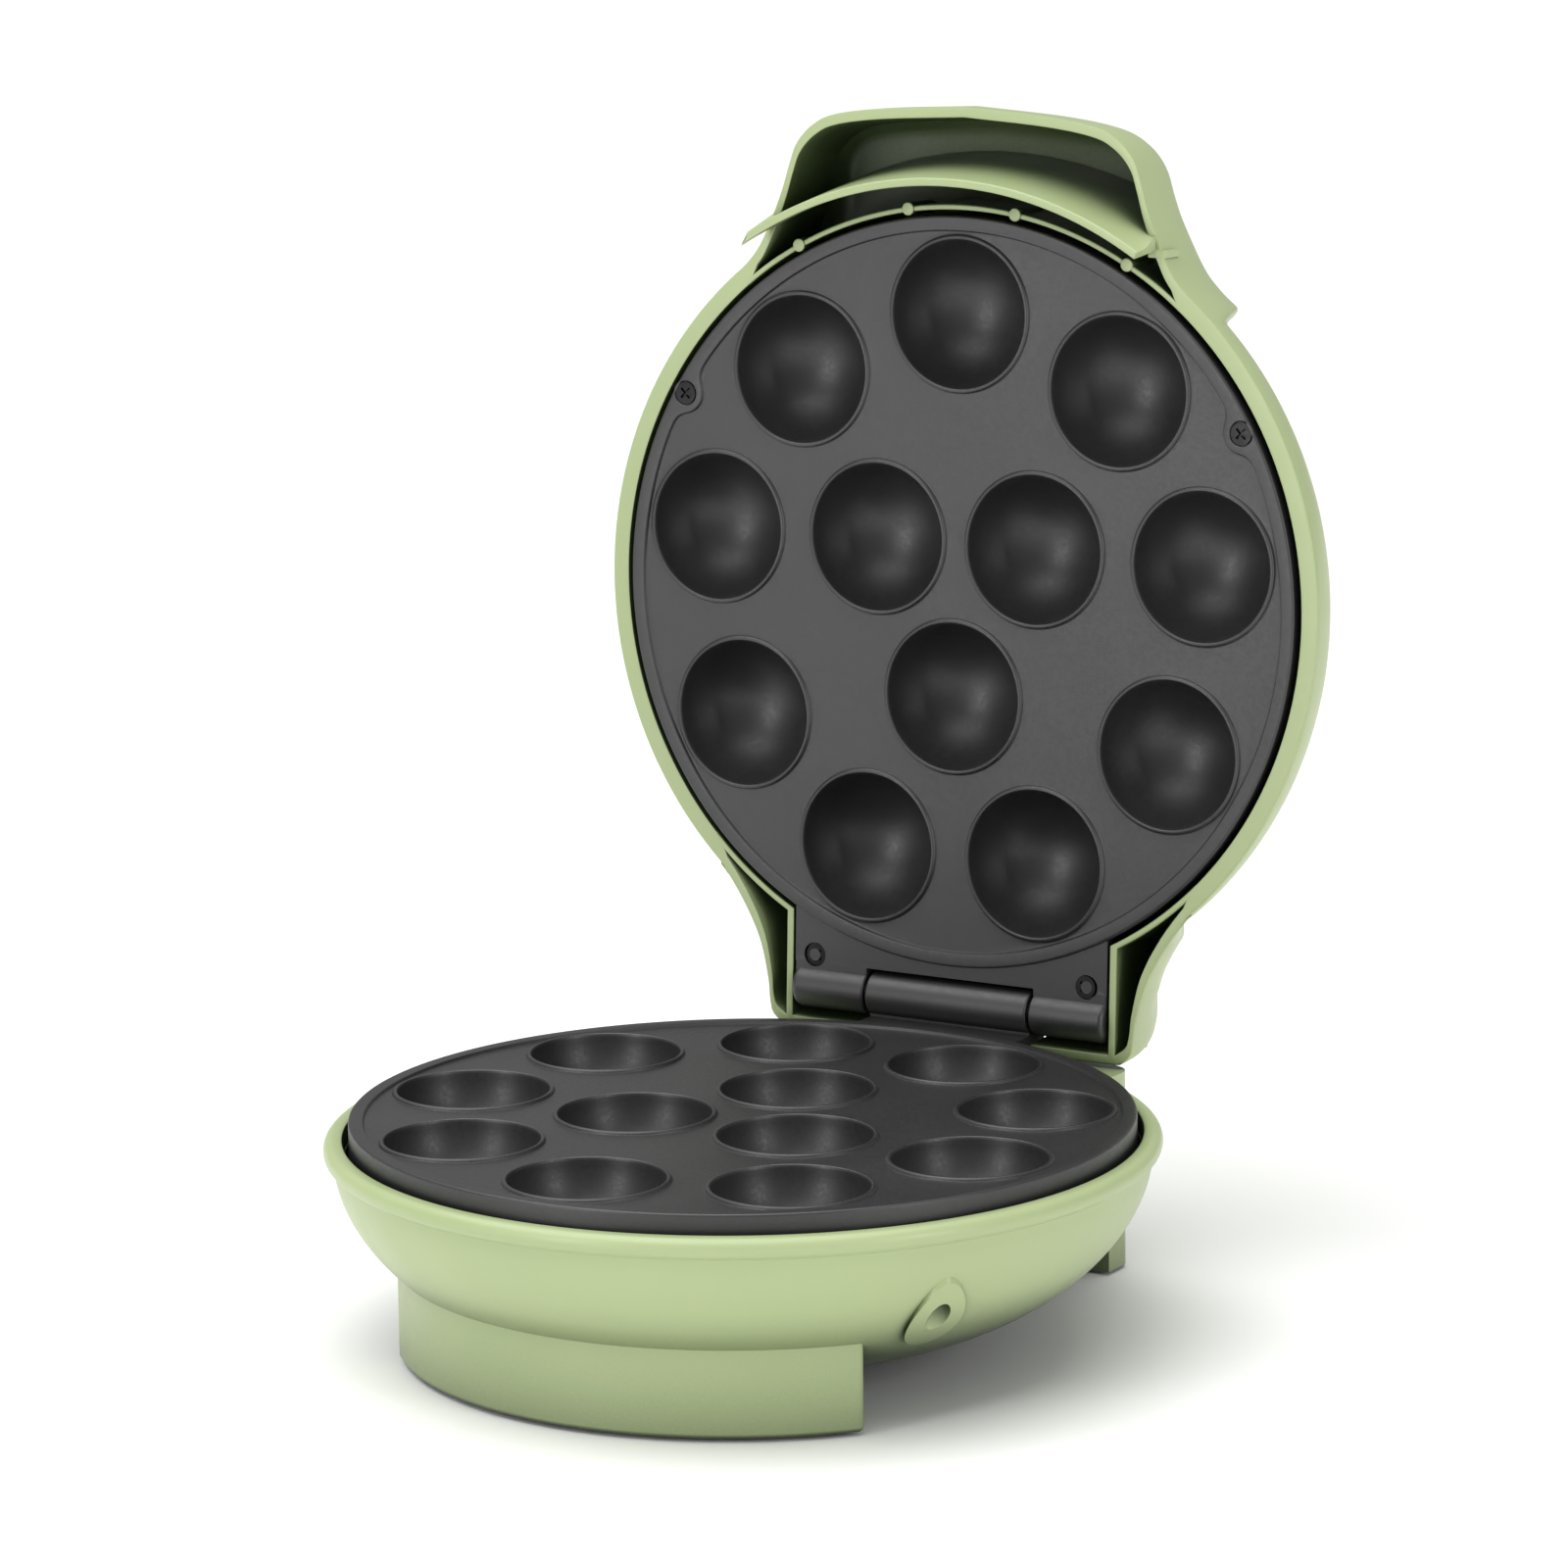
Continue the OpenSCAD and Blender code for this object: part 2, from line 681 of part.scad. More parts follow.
// The corners of a wire's section at point i
function wire_ring(pts, i) = let (d = bend_dir(pts, i), u = unit(cross(d, [1, 0, 0])), v = cross(d, u))
    [for (k = [0:wire_sides - 1])
        pts[i] + wire_r * (u * cos(k * 360 / wire_sides) + v * sin(k * 360 / wire_sides))];

// A wire that follows its points, with a flat end at the first and the last
module wire(pts) {
    last = len(pts) - 1;
    n = wire_sides;
    polyhedron(
        points = [for (i = [0:last]) each wire_ring(pts, i)],
        faces = concat(
            [[for (k = [0:n - 1]) k]],
            [for (i = [0:last - 1]) for (k = [0:n - 1])
                [n * i + k, n * (i + 1) + k, n * i + (k + 1) % n]],
            [for (i = [1:last]) for (k = [0:n - 1])
                [n * i + k, n * i + (k + 1) % n, n * (i - 1) + (k + 1) % n]],
            [[for (k = [n - 1:-1:0]) n * last + k]]));
}

// A point beside the fuse: x along it and z below the plate
function fuse_at(x, z) =
    let (a = sensor_angles[1]) polar(sensor_ring_r, a) + polar(x, a - 90) + [0, 0, z];
function up(p, z) = [p[0], p[1], z];

// The wire from the element's left end to the fuse, the same in the base and in the lid
module fuse_wire() {
    pin = [-element_pin_at[0], element_pin_at[1], element_pin_z];
    wire([pin, pin - [0, 0, 2.6], pin + [-9.4, -3.6, 0], fuse_at(fuse_wire_x, -27.4),
        fuse_at(fuse_wire_x, fuse_z), fuse_at(fuse_lead, fuse_z)]);
}

module terminal_block() {
    top = terminal_base_z + terminal_h;
    color("white") on_base() difference() {
        translate([0, terminal_y, 0]) union() {
            box(-terminal_half, terminal_half, -6, 6, terminal_base_z, top);
            for (i = [-1.5:1.5]) translate([i * terminal_pitch, 0, 0]) disc(3.4, top - 1, top + 2);
        }
        for (i = [-1.5:1.5]) translate([i * terminal_pitch, terminal_y, 0]) disc(1.8, top - 2, top + 3);
    }
}

module base_wiring() {
    post_z = terminal_base_z + terminal_h + 2;
    feed = [terminal_pitch * 1.5, terminal_y, post_z];
    back = [-feed[0], terminal_y, post_z];
    blade = polar(sensor_ring_r, sensor_angles[0]);
    blade_in = up(blade - [tab_blade_x, 0, 0], tab_blade_z);
    blade_out = up(blade + [tab_blade_x, 0, 0], tab_blade_z);
    pin = up(element_pin_at, element_pin_z);
    color("#d9d2c0") on_base() {
        wire([feed - [0, 0, 3.5], feed + [0, 0, 2.5], feed + [8, -12, 4],
            blade_in - [0, 0, 4], blade_in]);
        wire([blade_out, blade_out - [0, 0, 4], blade_out + [-1.4, 25, -6], pin + [5.4, 2.4, -4],
            pin - [0, 0, 4.5], pin]);
        fuse_wire();
        wire([fuse_at(-fuse_lead, fuse_z), fuse_at(-fuse_wire_x, fuse_z), fuse_at(-fuse_wire_x, -28),
            back + [-10.5, -14, -0.5], back + [0, 0, 2.5], back - [0, 0, 3.5]]);
    }
}

/* ---- lid ---- */

module dome_solid(inset) {
    rotate_extrude($fn = 96) polygon(concat(
        [[0, lid_rim_z - (inset > 0 ? 1 : 0)], [rim_r - inset, lid_rim_z - (inset > 0 ? 1 : 0)]],
        round_pts(rim_r - inset, lid_rim_z, lid_crown_r, lid_top_z - inset, 0.9),
        [[0, lid_top_z - inset]]));
}

// One level of the handle's outline, as a thin slab for a hull
module hood_level(inset, z, front_cut = 0) {
    r = hood_corner_r - min(inset, hood_corner_r - 2);
    x = hood_front_w - inset - r;
    y = hood_front - hood_bulge - inset - front_cut - r;
    translate([0, 0, z]) linear_extrude(0.2) {
        both_sides() translate([x, -y]) circle(r = r, $fn = 32);
        both_sides() translate([hood_root_w - inset - 1, -hood_root_y]) circle(r = 1, $fn = 16);
        translate([0, -hood_front + inset + front_cut + 6]) circle(r = 6, $fn = 32);
    }
}

module hood_solid(inset, z0) {
    top = lid_rim_z + hood_h - inset;
    hull() {
        hood_level(inset, z0);
        hood_level(inset + 1, lid_rim_z + hood_h * 0.6);
        hood_level(inset + 5, top, 2);
        translate([0, -hood_ridge_y, top + hood_rise]) linear_extrude(0.2)
            square([2 * (hood_ridge_w - inset), 4], center = true);
    }
}

// The finger guard: a leaning wall, concentric with the plates
module guard_wall_ring() {
    z0 = lid_rim_z - guard_drop;
    z1 = lid_rim_z + hood_h;
    rotate([0, 0, -90 - guard_half_angle]) rotate_extrude(angle = 2 * guard_half_angle)
        polygon([[guard_r, z0 + 0.6], [guard_r + 0.6, z0], [guard_r + guard_wall, z0],
            [guard_r + guard_wall + guard_lean, z1], [guard_r + guard_lean, z1]]);
}

module neck_level(inset, z, end_cut = 0) {
    r = neck_corner_r;
    y = neck_y - inset - end_cut - r;
    translate([0, 0, z]) linear_extrude(0.2) {
        both_sides() translate([neck_end_w - inset - end_cut - r, y]) circle(r = r, $fn = 32);
        both_sides() translate([neck_flare_w - inset - end_cut, neck_flare_y]) circle(r = 1, $fn = 16);
    }
}

module neck_solid(inset, z0) {
    top = lid_rim_z + neck_h - inset;
    hull() {
        neck_level(inset, z0);
        for (i = [1:3])
            neck_level(inset, z0 + (top - z0) * neck_height_steps[i], neck_end_steps[i]);
    }
}

module lid_housing() {
    color(green) on_lid() difference() {
        union() {
            difference() {
                union() {
                    dome_solid(0);
                    neck_solid(0, lid_rim_z);
                    hood_solid(0, lid_rim_z);
                }
                difference() {
                    union() {
                        dome_solid(wall);
                        neck_solid(wall, lid_rim_z - 1);
                        hood_solid(hood_wall, lid_rim_z - 1);
                    }
                    tube(hood_gap_r, ring_r, 0, big);
                    rim_band();
                    guard_wall_ring();
                    neck_ribs();
                    lid_bosses();
                }
            }
            intersection() {
                guard_wall_ring();
                hood_solid(0, lid_rim_z - guard_drop);
            }
            at_polar(ring_r + lid_ring_wall / 2, ring_peg_angles)
                disc(ring_peg_r, lid_rim_z - 0.3, lid_rim_z + 8);
        }
        hinge_notch();
        boss_bores();
        at_lamps() disc(lens_r + 0.15, lid_top_z - wall - 1, lid_top_z + 1);
    }
}

// The rim's face closes the space between the ring and the outer wall outside the handle
module rim_band() {
    inner_r = ring_r + lid_ring_wall / 2;
    difference() {
        tube(rim_r - 0.5, inner_r, lid_rim_z, lid_rim_z + 3);
        rotate([0, 0, -90]) sector(inner_r - 0.5, big / 2, -band_gap_angle, band_gap_angle, 0, 20);
        box(-tab_half_w - 1, tab_half_w + 1, 0, big, 0, 20);
    }
}

module neck_ribs() {
    both_sides() box(tab_half_w + 0.6, tab_half_w + 2.6, neck_rib_y, neck_y - wall, lid_rim_z, big);
}

module lid_bosses() {
    at_polar(ear_ring_r, ear_angles) disc(pillar_r, plate_gap + pillar_h + 0.2, big);
    both_sides() translate([tab_screw_x, tab_screw_y, 0]) disc(4, tab_z + leaf_t + 0.1, big);
}

module boss_bores() {
    at_polar(ear_ring_r, ear_angles) disc(screw_r, 0, plate_gap + pillar_h + 3);
    both_sides() translate([tab_screw_x, tab_screw_y, 0]) disc(screw_r, 0, tab_z + leaf_t + 12);
}

// Room for the tab, the barrels, and the middle barrel's leaf over the whole travel
module hinge_notch() {
    reach = norm([leaf_boss_y - hinge_y + leaf_boss_r, hinge_z - deck_z]);
    half_w = tab_half_w + 0.5;
    barrel_room_r = knuckle_r + 0.6;
    box(-half_w, half_w, plate_r * 0.8, hinge_y, -1, tab_z + leaf_t + 0.1);
    translate([0, hinge_y, hinge_z]) {
        bar(barrel_room_r, -half_w, half_w);
        bar(reach + 1.2, -side_barrel_x + 0.3, side_barrel_x - 0.3);
    }
    box(-half_w, half_w, hinge_y - knuckle_r, hinge_y + barrel_room_r, -1, hinge_z);
}

module ear_screws() {
    color(plate_black) on_lid() face_down() at_polar(ear_ring_r, ear_angles)
        translate([0, 0, -1.2]) screw_flat(pillar_h + 1.5);
}

module tab_screws() {
    color(plate_black) on_lid() both_sides() translate([tab_screw_x, tab_screw_y, tab_z + 1.2])
        mirror([0, 0, 1]) screw_flat(leaf_t + 9);
}

// A flush screw with a cross recess: the head hangs above z = 0
module screw_flat(length) {
    difference() {
        disc(screw_head_r, 0, 1.1);
        for (a = [45, 135]) rotate([0, 0, a])
            translate([-screw_head_r * 0.62, -0.35, 0.3]) cube([screw_head_r * 1.24, 0.7, 2]);
    }
    disc(thread_r, -length, eps);
}

module at_lamps() {
    for (s = [-1, 1]) translate([s * lamp_x, lamp_y, 0]) children();
}

module lens(c, side) {
    color(c) on_lid() translate([side * lamp_x, lamp_y, 0]) {
        disc(lens_r, lid_top_z - wall, lid_top_z + 0.8);
        disc(lens_r + 1.2, lid_top_z - wall - 1.2, lid_top_z - wall);
    }
}

module power_lens() { lens("red", -1); }
module ready_lens() { lens("limegreen", 1); }

module lamp_holder() {
    color("ivory") on_lid() difference() {
        union() {
            box(-lamp_x - 7, lamp_x + 7, lamp_y - 6, lamp_y + 6, lamp_plate_z, lamp_plate_z + 1.4);
            for (s = [-1, 1]) translate([s * (lamp_x + 10.5), lamp_y, 0])
                disc(2.4, lamp_plate_z, lid_top_z - wall);
            for (s = [-1, 1]) translate([s * (lamp_x + 7), lamp_y, 0])
                box(-2.5, 2.5, -2, 2, lamp_plate_z, lamp_plate_z + 1.4);
        }
        at_lamps() disc(3.1, lamp_plate_z - 1, lamp_plate_z + 3);
    }
}

module neon_lamps() {
    color("orange") on_lid() at_lamps() {
        disc(3, lamp_plate_z - 1, lid_top_z - wall - 2.7);
        translate([0, 0, lid_top_z - wall - 2.7]) sphere(r = 1.2);
    }
}

module lid_wiring() {
    lamp = [lamp_x, lamp_y, lamp_plate_z - 1];
    pin = up(element_pin_at, plate_gap - element_pin_z);
    fuse_end = fuse_at(-fuse_wire_x, plate_gap - fuse_z);
    color("#d9d2c0") on_lid() {
        face_down() fuse_wire();
        wire([pin, pin + [0, 0, 2.6], pin + [-1.6, -17.6, 0.4],
            lamp + [0, 14, -2], lamp - [0, 0, 3], lamp]);
        wire([fuse_at(-fuse_lead, plate_gap - fuse_z), fuse_end, up(fuse_end, lamp[2] - 2),
            [-lamp[0] - 11, lamp[1] + 4, lamp[2] - 2], [-lamp[0], lamp[1], lamp[2] - 3],
            [-lamp[0], lamp[1], lamp[2]]]);
    }
}

base_housing();
front_foot_pads();
rear_foot_pads();
lower_plate();
lower_plate_screws();
lower_leaf_screws();
lower_element();
lower_element_clips();
lower_reflector();
lower_reflector_screws();
thermostat();
lower_fuse();
terminal_block();
base_wiring();
cord_inlet();
hinge_pin();
lid_housing();
upper_plate();
ear_screws();
tab_screws();
upper_element();
upper_element_clips();
upper_reflector();
upper_reflector_screws();
upper_fuse();
lid_wiring();
lamp_holder();
neon_lamps();
power_lens();
ready_lens();
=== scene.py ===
"""The doughnut maker's looks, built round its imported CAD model.

Shapes are drawn in millimetres in the plates' frame: x = y = 0 at the plates' centre, z = 0 on the
lower plate's lip, +Y towards the hinge. Lid pieces are drawn closed and turned open about the hinge.
"""
import json
import math

import bmesh
import bpy
import numpy as np
from mathutils import Matrix, Vector


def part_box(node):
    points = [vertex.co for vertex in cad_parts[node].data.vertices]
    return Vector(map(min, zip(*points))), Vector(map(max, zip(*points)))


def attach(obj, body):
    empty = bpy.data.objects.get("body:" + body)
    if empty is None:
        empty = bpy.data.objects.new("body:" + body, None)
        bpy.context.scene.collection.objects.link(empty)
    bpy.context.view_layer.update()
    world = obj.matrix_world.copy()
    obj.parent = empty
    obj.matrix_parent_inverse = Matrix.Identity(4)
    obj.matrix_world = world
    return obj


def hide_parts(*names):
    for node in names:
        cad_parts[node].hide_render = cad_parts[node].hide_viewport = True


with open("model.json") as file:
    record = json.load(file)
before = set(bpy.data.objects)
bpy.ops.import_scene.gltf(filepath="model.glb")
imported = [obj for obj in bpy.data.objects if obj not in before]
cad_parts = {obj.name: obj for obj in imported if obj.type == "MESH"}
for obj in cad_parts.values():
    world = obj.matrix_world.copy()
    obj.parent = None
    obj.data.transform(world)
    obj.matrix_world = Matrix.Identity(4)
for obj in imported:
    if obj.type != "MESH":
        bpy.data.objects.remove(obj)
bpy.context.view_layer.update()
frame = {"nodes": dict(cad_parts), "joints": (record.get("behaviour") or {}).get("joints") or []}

# ---- sizes in millimetres ----
MM = 0.001
TURN = 192                 # steps round a full turn of a large lathed shape
LIP_W, LIP_H = 3.8, 0.9    # raised lip round a plate
SKIN, SKIRT, SKIRT_WALL = 3.0, 12.0, 2.5
CAVITY_R, CUP_WALL = 19.0, 2.5
OUTER_RING_R, INNER_RING_R = 72.0, 26.5
EAR_R, EAR_RING_R, EAR_ANGLE = 5.6, 93.6, 60.0
PLATE_GAP = 0.6
SCREW_R, HEAD_R = 1.5, 2.9
LEAF_T = 3.4
KNUCKLE_R, PIN_R = 5.8, 2.5
MID_BARREL, SIDE_BARREL, BARREL_GAP = 47.5, 21.5, 0.8
RIM_DROP, RIM_W, RIM_H, RIM_STEP = 4.5, 4.8, 5.0, 2.4
WALL = 2.5
BOWL_DEPTH, BOWL_FLOOR_R = 52.0, 45.0
LID_RIM_Z, LID_TOP_Z, CROWN_R = 1.5, 42.0, 24.0
HOOD_WALL, HOOD_H, NECK_H = 2.8, 24.0, 27.0
GUARD_RIGHT = 31.5         # degrees from the middle to the guard's right end
LEG_R, LEG_DEPTH, LEG_HALF = 86.3, 20.0, 50.0
BLOCK_HALF, BLOCK_R, BLOCK_CORNER = 52.0, 117.5, 6.0

plate_lo, plate_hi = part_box("lower_plate")
hinge = Vector(frame["joints"][0]["pos_m"])
open_angle = math.radians(frame["joints"][0]["range_deg"][1])
PLATE_R = (plate_hi.x - plate_lo.x) / 2 / MM
CENTRE_Y = plate_lo.y + PLATE_R * MM
FACE_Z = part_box("base_housing")[1].z + RIM_DROP * MM
HINGE_Y = (hinge.y - CENTRE_Y) / MM
HINGE_Z = (hinge.z - FACE_Z) / MM
FOOT_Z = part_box("base_housing")[0].z / MM - FACE_Z / MM
RING_R = PLATE_R + 1.5
RIM_R = RING_R + RIM_W
TAB_HALF = MID_BARREL / 2 + BARREL_GAP + SIDE_BARREL
SIDE_BARREL_X = MID_BARREL / 2 + BARREL_GAP
DECK_Z = -6.8
LEAF_SCREW_X, LEAF_SCREW_BACK = 14, 1.6    # the leaf's screws, and how far behind the hinge
BLOCK_FRONT, BLOCK_LOW = 72, -40           # the rear block, from its hidden front face back
LEG_TOP, LEG_ROOM_TOP = -31, -54.6         # the front leg runs up into the bowl
REAR_LEG_FRONT, REAR_LEG_X = 94, 38
TUNNEL_PROUD = 0.9                         # how far a screw tunnel stands out of the bowl
INLET_R, INLET_Z = 6.1, -24
PAD_SEAT_R, PAD_BOSS_R, PAD_BOSS_H, PAD_SEAT_H = 5.1, 6.5, 12, 2
HOOD_END, HOOD_EDGE_R, NECK_EDGE_R = 124.7, 9.0, 15.0
WELD = 0.0005              # vertices closer than this are one
SHARP_ANGLE = 32           # degrees; a sharper edge isn't shaded smooth

ON_BASE = Matrix.Translation((0, CENTRE_Y, FACE_Z)) @ Matrix.Scale(MM, 4)
ON_LID = (Matrix.Translation(hinge) @ Matrix.Rotation(-open_angle, 4, "X")
          @ Matrix.Translation(-hinge) @ ON_BASE)
FACE_DOWN = Matrix.Translation((0, 0, PLATE_GAP)) @ Matrix.Diagonal((1, 1, -1, 1))


# ---- mesh helpers ----
def circle(r, z, n=TURN, at=(0, 0)):
    steps = [2 * math.pi * i / n for i in range(n)]
    return [(at[0] + r * math.cos(a), at[1] + r * math.sin(a), z) for a in steps]


def polar(r, degrees):
    return r * math.cos(math.radians(degrees)), r * math.sin(math.radians(degrees))


def ring(bm, points):
    return [bm.verts.new(p) for p in points]


def band(bm, a, b, closed=True):
    """Quads between two rows of vertices of the same length."""
    n = len(a)
    for i in range(n if closed else n - 1):
        j = (i + 1) % n
        bm.faces.new((a[i], a[j], b[j], b[i]))


def fill(bm, *loops):
    """Triangles over a flat region whose outline and holes are the given loops."""
    edges = []
    for loop in loops:
        for i, v in enumerate(loop):
            pair = (v, loop[(i + 1) % len(loop)])
            edges.append(bm.edges.get(pair) or bm.edges.new(pair))
    bmesh.ops.triangle_fill(bm, use_beauty=True, edges=edges)


def lathe(bm, profile, n=TURN, at=(0, 0)):
    """Turns (r, z) points about a vertical axis; a radius of 0 makes a pole."""
    rows = []
    for r, z in profile:
        on_axis = r < 1e-6
        pole = [(at[0], at[1], z)]
        rows.append(ring(bm, pole if on_axis else circle(r, z, n, at)))
    for a, b in zip(rows, rows[1:]):
        if len(a) == 1:
            for i in range(n):
                bm.faces.new((a[0], b[(i + 1) % n], b[i]))
        elif len(b) == 1:
            for i in range(n):
                bm.faces.new((a[i], a[(i + 1) % n], b[0]))
        else:
            band(bm, a, b)
    return rows


def pole_cylinder(bm, r, z0, z1, edge=0.4, n=64, at=(0, 0)):
    """A closed upright cylinder with rounded rims."""
    arc = [(math.cos(t), math.sin(t)) for t in np.linspace(0, math.pi / 2, 4)]
    low = [(r - edge + edge * c, z0 + edge - edge * s) for c, s in reversed(arc)]
    high = [(r - edge + edge * c, z1 - edge + edge * s) for c, s in arc]
    lathe(bm, [(0, z0)] + low + high + [(0, z1)], n, at)


def box(bm, x0, x1, y0, y1, z0, z1):
    size = Matrix.Diagonal((x1 - x0, y1 - y0, z1 - z0, 1))
    at = Matrix.Translation(((x0 + x1) / 2, (y0 + y1) / 2, (z0 + z1) / 2))
    return bmesh.ops.create_cube(bm, size=1, matrix=at @ size)["verts"]


def prism(bm, outline, z0, z1):
    """A closed solid from a plan outline of (x, y) points."""
    low = ring(bm, [(x, y, z0) for x, y in outline])
    high = ring(bm, [(x, y, z1) for x, y in outline])
    band(bm, low, high)
    fill(bm, low)
    fill(bm, high)


def bevel(bm, width, segments=2, angle=35):
    """Rounds the edges sharper than angle."""
    limit = math.radians(angle)
    sharp = [e for e in bm.edges if len(e.link_faces) == 2 and e.calc_face_angle(0) > limit]
    bmesh.ops.bevel(bm, geom=sharp, offset=width, segments=segments, profile=0.5, affect="EDGES",
                    clamp_overlap=True)


def both_sides(points):
    return [(s * x, y) for s in (-1, 1) for x, y in points]


def solid(name, bm):
    """A plain object in millimetres from a bmesh with its normals pointing out."""
    bmesh.ops.recalc_face_normals(bm, faces=bm.faces)
    if bm.calc_volume(signed=True) < 0:
        bmesh.ops.reverse_faces(bm, faces=bm.faces)
    mesh = bpy.data.meshes.new(name)
    bm.to_mesh(mesh)
    bm.free()
    obj = bpy.data.objects.new(name, mesh)
    bpy.context.scene.collection.objects.link(obj)
    return obj


def combine(target, tool, operation):
    """Applies one boolean and removes the tool."""
    mod = target.modifiers.new("cut", "BOOLEAN")
    mod.solver = "MANIFOLD"
    mod.operation = operation
    mod.object = tool
    result = target.evaluated_get(bpy.context.evaluated_depsgraph_get())
    made = bpy.data.meshes.new_from_object(result)
    target.modifiers.clear()
    old = target.data
    target.data = made
    bpy.data.meshes.remove(old)
    tool_mesh = tool.data
    bpy.data.objects.remove(tool)
    bpy.data.meshes.remove(tool_mesh)
    return target


def finish_piece(obj, place, body, material, nodes):
    """Puts a piece in the frame, shades it, hangs it on the body it rides on, and hides the CAD parts
    it stands in for.
    """
    bm = bmesh.new()
    bm.from_mesh(obj.data)
    bmesh.ops.remove_doubles(bm, verts=bm.verts, dist=WELD)
    bmesh.ops.dissolve_degenerate(bm, edges=bm.edges, dist=WELD)
    bm.transform(place)
    bmesh.ops.recalc_face_normals(bm, faces=bm.faces)
    bm.to_mesh(obj.data)
    bm.free()
    obj.data.shade_smooth()
    obj.data.set_sharp_from_angle(angle=math.radians(SHARP_ANGLE))
    mod = obj.modifiers.new("weighted normals", "WEIGHTED_NORMAL")
    mod.keep_sharp = True
    obj.data.materials.clear()
    obj.data.materials.append(material)
    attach(obj, body)
    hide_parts(*nodes)


def arc(cx, cy, r, a0, a1, n):
    """Points on an arc, with angles in degrees."""
    return [(cx + x, cy + y) for x, y in (polar(r, a) for a in np.linspace(a0, a1, n))]


def round_section(r0, z0, r1, z1, power, n=28):
    """Points of a rounded section from (r0, z0), upright, to (r1, z1), level."""
    return [(r1 + (r0 - r1) * math.cos(t) ** power, z0 + (z1 - z0) * math.sin(t) ** power)
            for t in np.linspace(0, math.pi / 2, n)]


# ---- materials ----
class Nodes:
    """A small builder for one material's node tree."""

    def __init__(self, name):
        self.material = bpy.data.materials.new(name)
        self.material.use_nodes = True
        self.tree = self.material.node_tree
        self.shader = self.tree.nodes["Principled BSDF"]
        self.coords = self.tree.nodes.new("ShaderNodeTexCoord").outputs["Object"]

    def set(self, **values):
        for key, value in values.items():
            self.shader.inputs[key.replace("_", " ")].default_value = value
        return self

    def noise(self, scale, detail=3.0, roughness=0.5, stretch=(1, 1, 1)):
        mapping = self.tree.nodes.new("ShaderNodeMapping")
        mapping.inputs["Scale"].default_value = stretch
        self.tree.links.new(self.coords, mapping.inputs["Vector"])
        node = self.tree.nodes.new("ShaderNodeTexNoise")
        node.inputs["Scale"].default_value = scale
        node.inputs["Detail"].default_value = detail
        node.inputs["Roughness"].default_value = roughness
        self.tree.links.new(mapping.outputs["Vector"], node.inputs["Vector"])
        return node.outputs["Fac"]

    def ramp(self, factor, low, high, start=0.35, end=0.65):
        """Maps a factor from start..end to low..high, as a number or a colour."""
        if isinstance(low, tuple):
            node = self.tree.nodes.new("ShaderNodeValToRGB")
            node.color_ramp.elements[0].position = start
            node.color_ramp.elements[1].position = end
            node.color_ramp.elements[0].color = (*low, 1)
            node.color_ramp.elements[1].color = (*high, 1)
            self.tree.links.new(factor, node.inputs["Fac"])
            return node.outputs["Color"]
        node = self.tree.nodes.new("ShaderNodeMapRange")
        node.inputs["From Min"].default_value = start
        node.inputs["From Max"].default_value = end
        node.inputs["To Min"].default_value = low
        node.inputs["To Max"].default_value = high
        self.tree.links.new(factor, node.inputs["Value"])
        return node.outputs["Result"]

    def paint_shade_in_hollows(self, deep, colour, reach):
        """Paints shade into a colour: mixes it towards a darker one where nearby surfaces close in, by
        ambient occlusion.
        """
        shade = self.tree.nodes.new("ShaderNodeAmbientOcclusion")
        shade.samples = 8
        shade.inputs["Distance"].default_value = reach
        mix = self.tree.nodes.new("ShaderNodeMix")
        mix.data_type = "RGBA"
        mix.inputs["A"].default_value = (*deep, 1)
        openness = self.ramp(shade.outputs["AO"], 0.0, 1.0, 0.25, 0.78)
        self.tree.links.new(openness, mix.inputs["Factor"])
        self.tree.links.new(colour, mix.inputs["B"])
        return mix.outputs["Result"]

    def colour(self, socket):
        self.tree.links.new(socket, self.shader.inputs["Base Color"])
        return self

    def rough(self, socket):
        self.tree.links.new(socket, self.shader.inputs["Roughness"])
        return self

    def bump(self, *layers):
        """Each layer is (height, depth in metres, strength)."""
        normal = None
        for height, depth, strength in layers:
            node = self.tree.nodes.new("ShaderNodeBump")
            node.inputs["Distance"].default_value = depth
            node.inputs["Strength"].default_value = strength
            self.tree.links.new(height, node.inputs["Height"])
            if normal:
                self.tree.links.new(normal, node.inputs["Normal"])
            normal = node.outputs["Normal"]
        self.tree.links.new(normal, self.shader.inputs["Normal"])
        return self


def make_green_plastic():
    m = Nodes("moulded_green")
    m.set(Specular_IOR_Level=0.5, Coat_Weight=0.12, Coat_Roughness=0.18)
    skin = m.ramp(m.noise(14, 4), (0.375, 0.452, 0.226), (0.395, 0.472, 0.240))
    # painted shade: the green darkens to near-black in hollows, gaps and creases
    m.colour(m.paint_shade_in_hollows((0.035, 0.055, 0.02), skin, 0.04))
    m.rough(m.ramp(m.noise(60, 3), 0.36, 0.44))
    m.bump((m.noise(1400, 2), 0.00002, 0.35), (m.noise(90, 2), 0.00012, 0.12))
    return m.material


def make_nonstick():
    m = Nodes("nonstick_coating")
    m.set(Specular_IOR_Level=0.8)
    m.colour(m.ramp(m.noise(30, 4), (0.011, 0.011, 0.0115), (0.016, 0.016, 0.0165)))
    m.rough(m.ramp(m.noise(900, 3), 0.40, 0.48))
    m.bump((m.noise(2600, 3, 0.6), 0.00003, 0.55), (m.noise(500, 2), 0.00003, 0.25))
    return m.material


def make_metal(name, low, high, rough_low, rough_high, stretch=(1, 1, 1)):
    m = Nodes(name)
    m.set(Metallic=1.0)
    m.colour(m.ramp(m.noise(40, 4), low, high))
    m.rough(m.ramp(m.noise(260, 4, 0.6, stretch), rough_low, rough_high))
    m.bump((m.noise(900, 3, 0.6, stretch), 0.00002, 0.3))
    return m.material


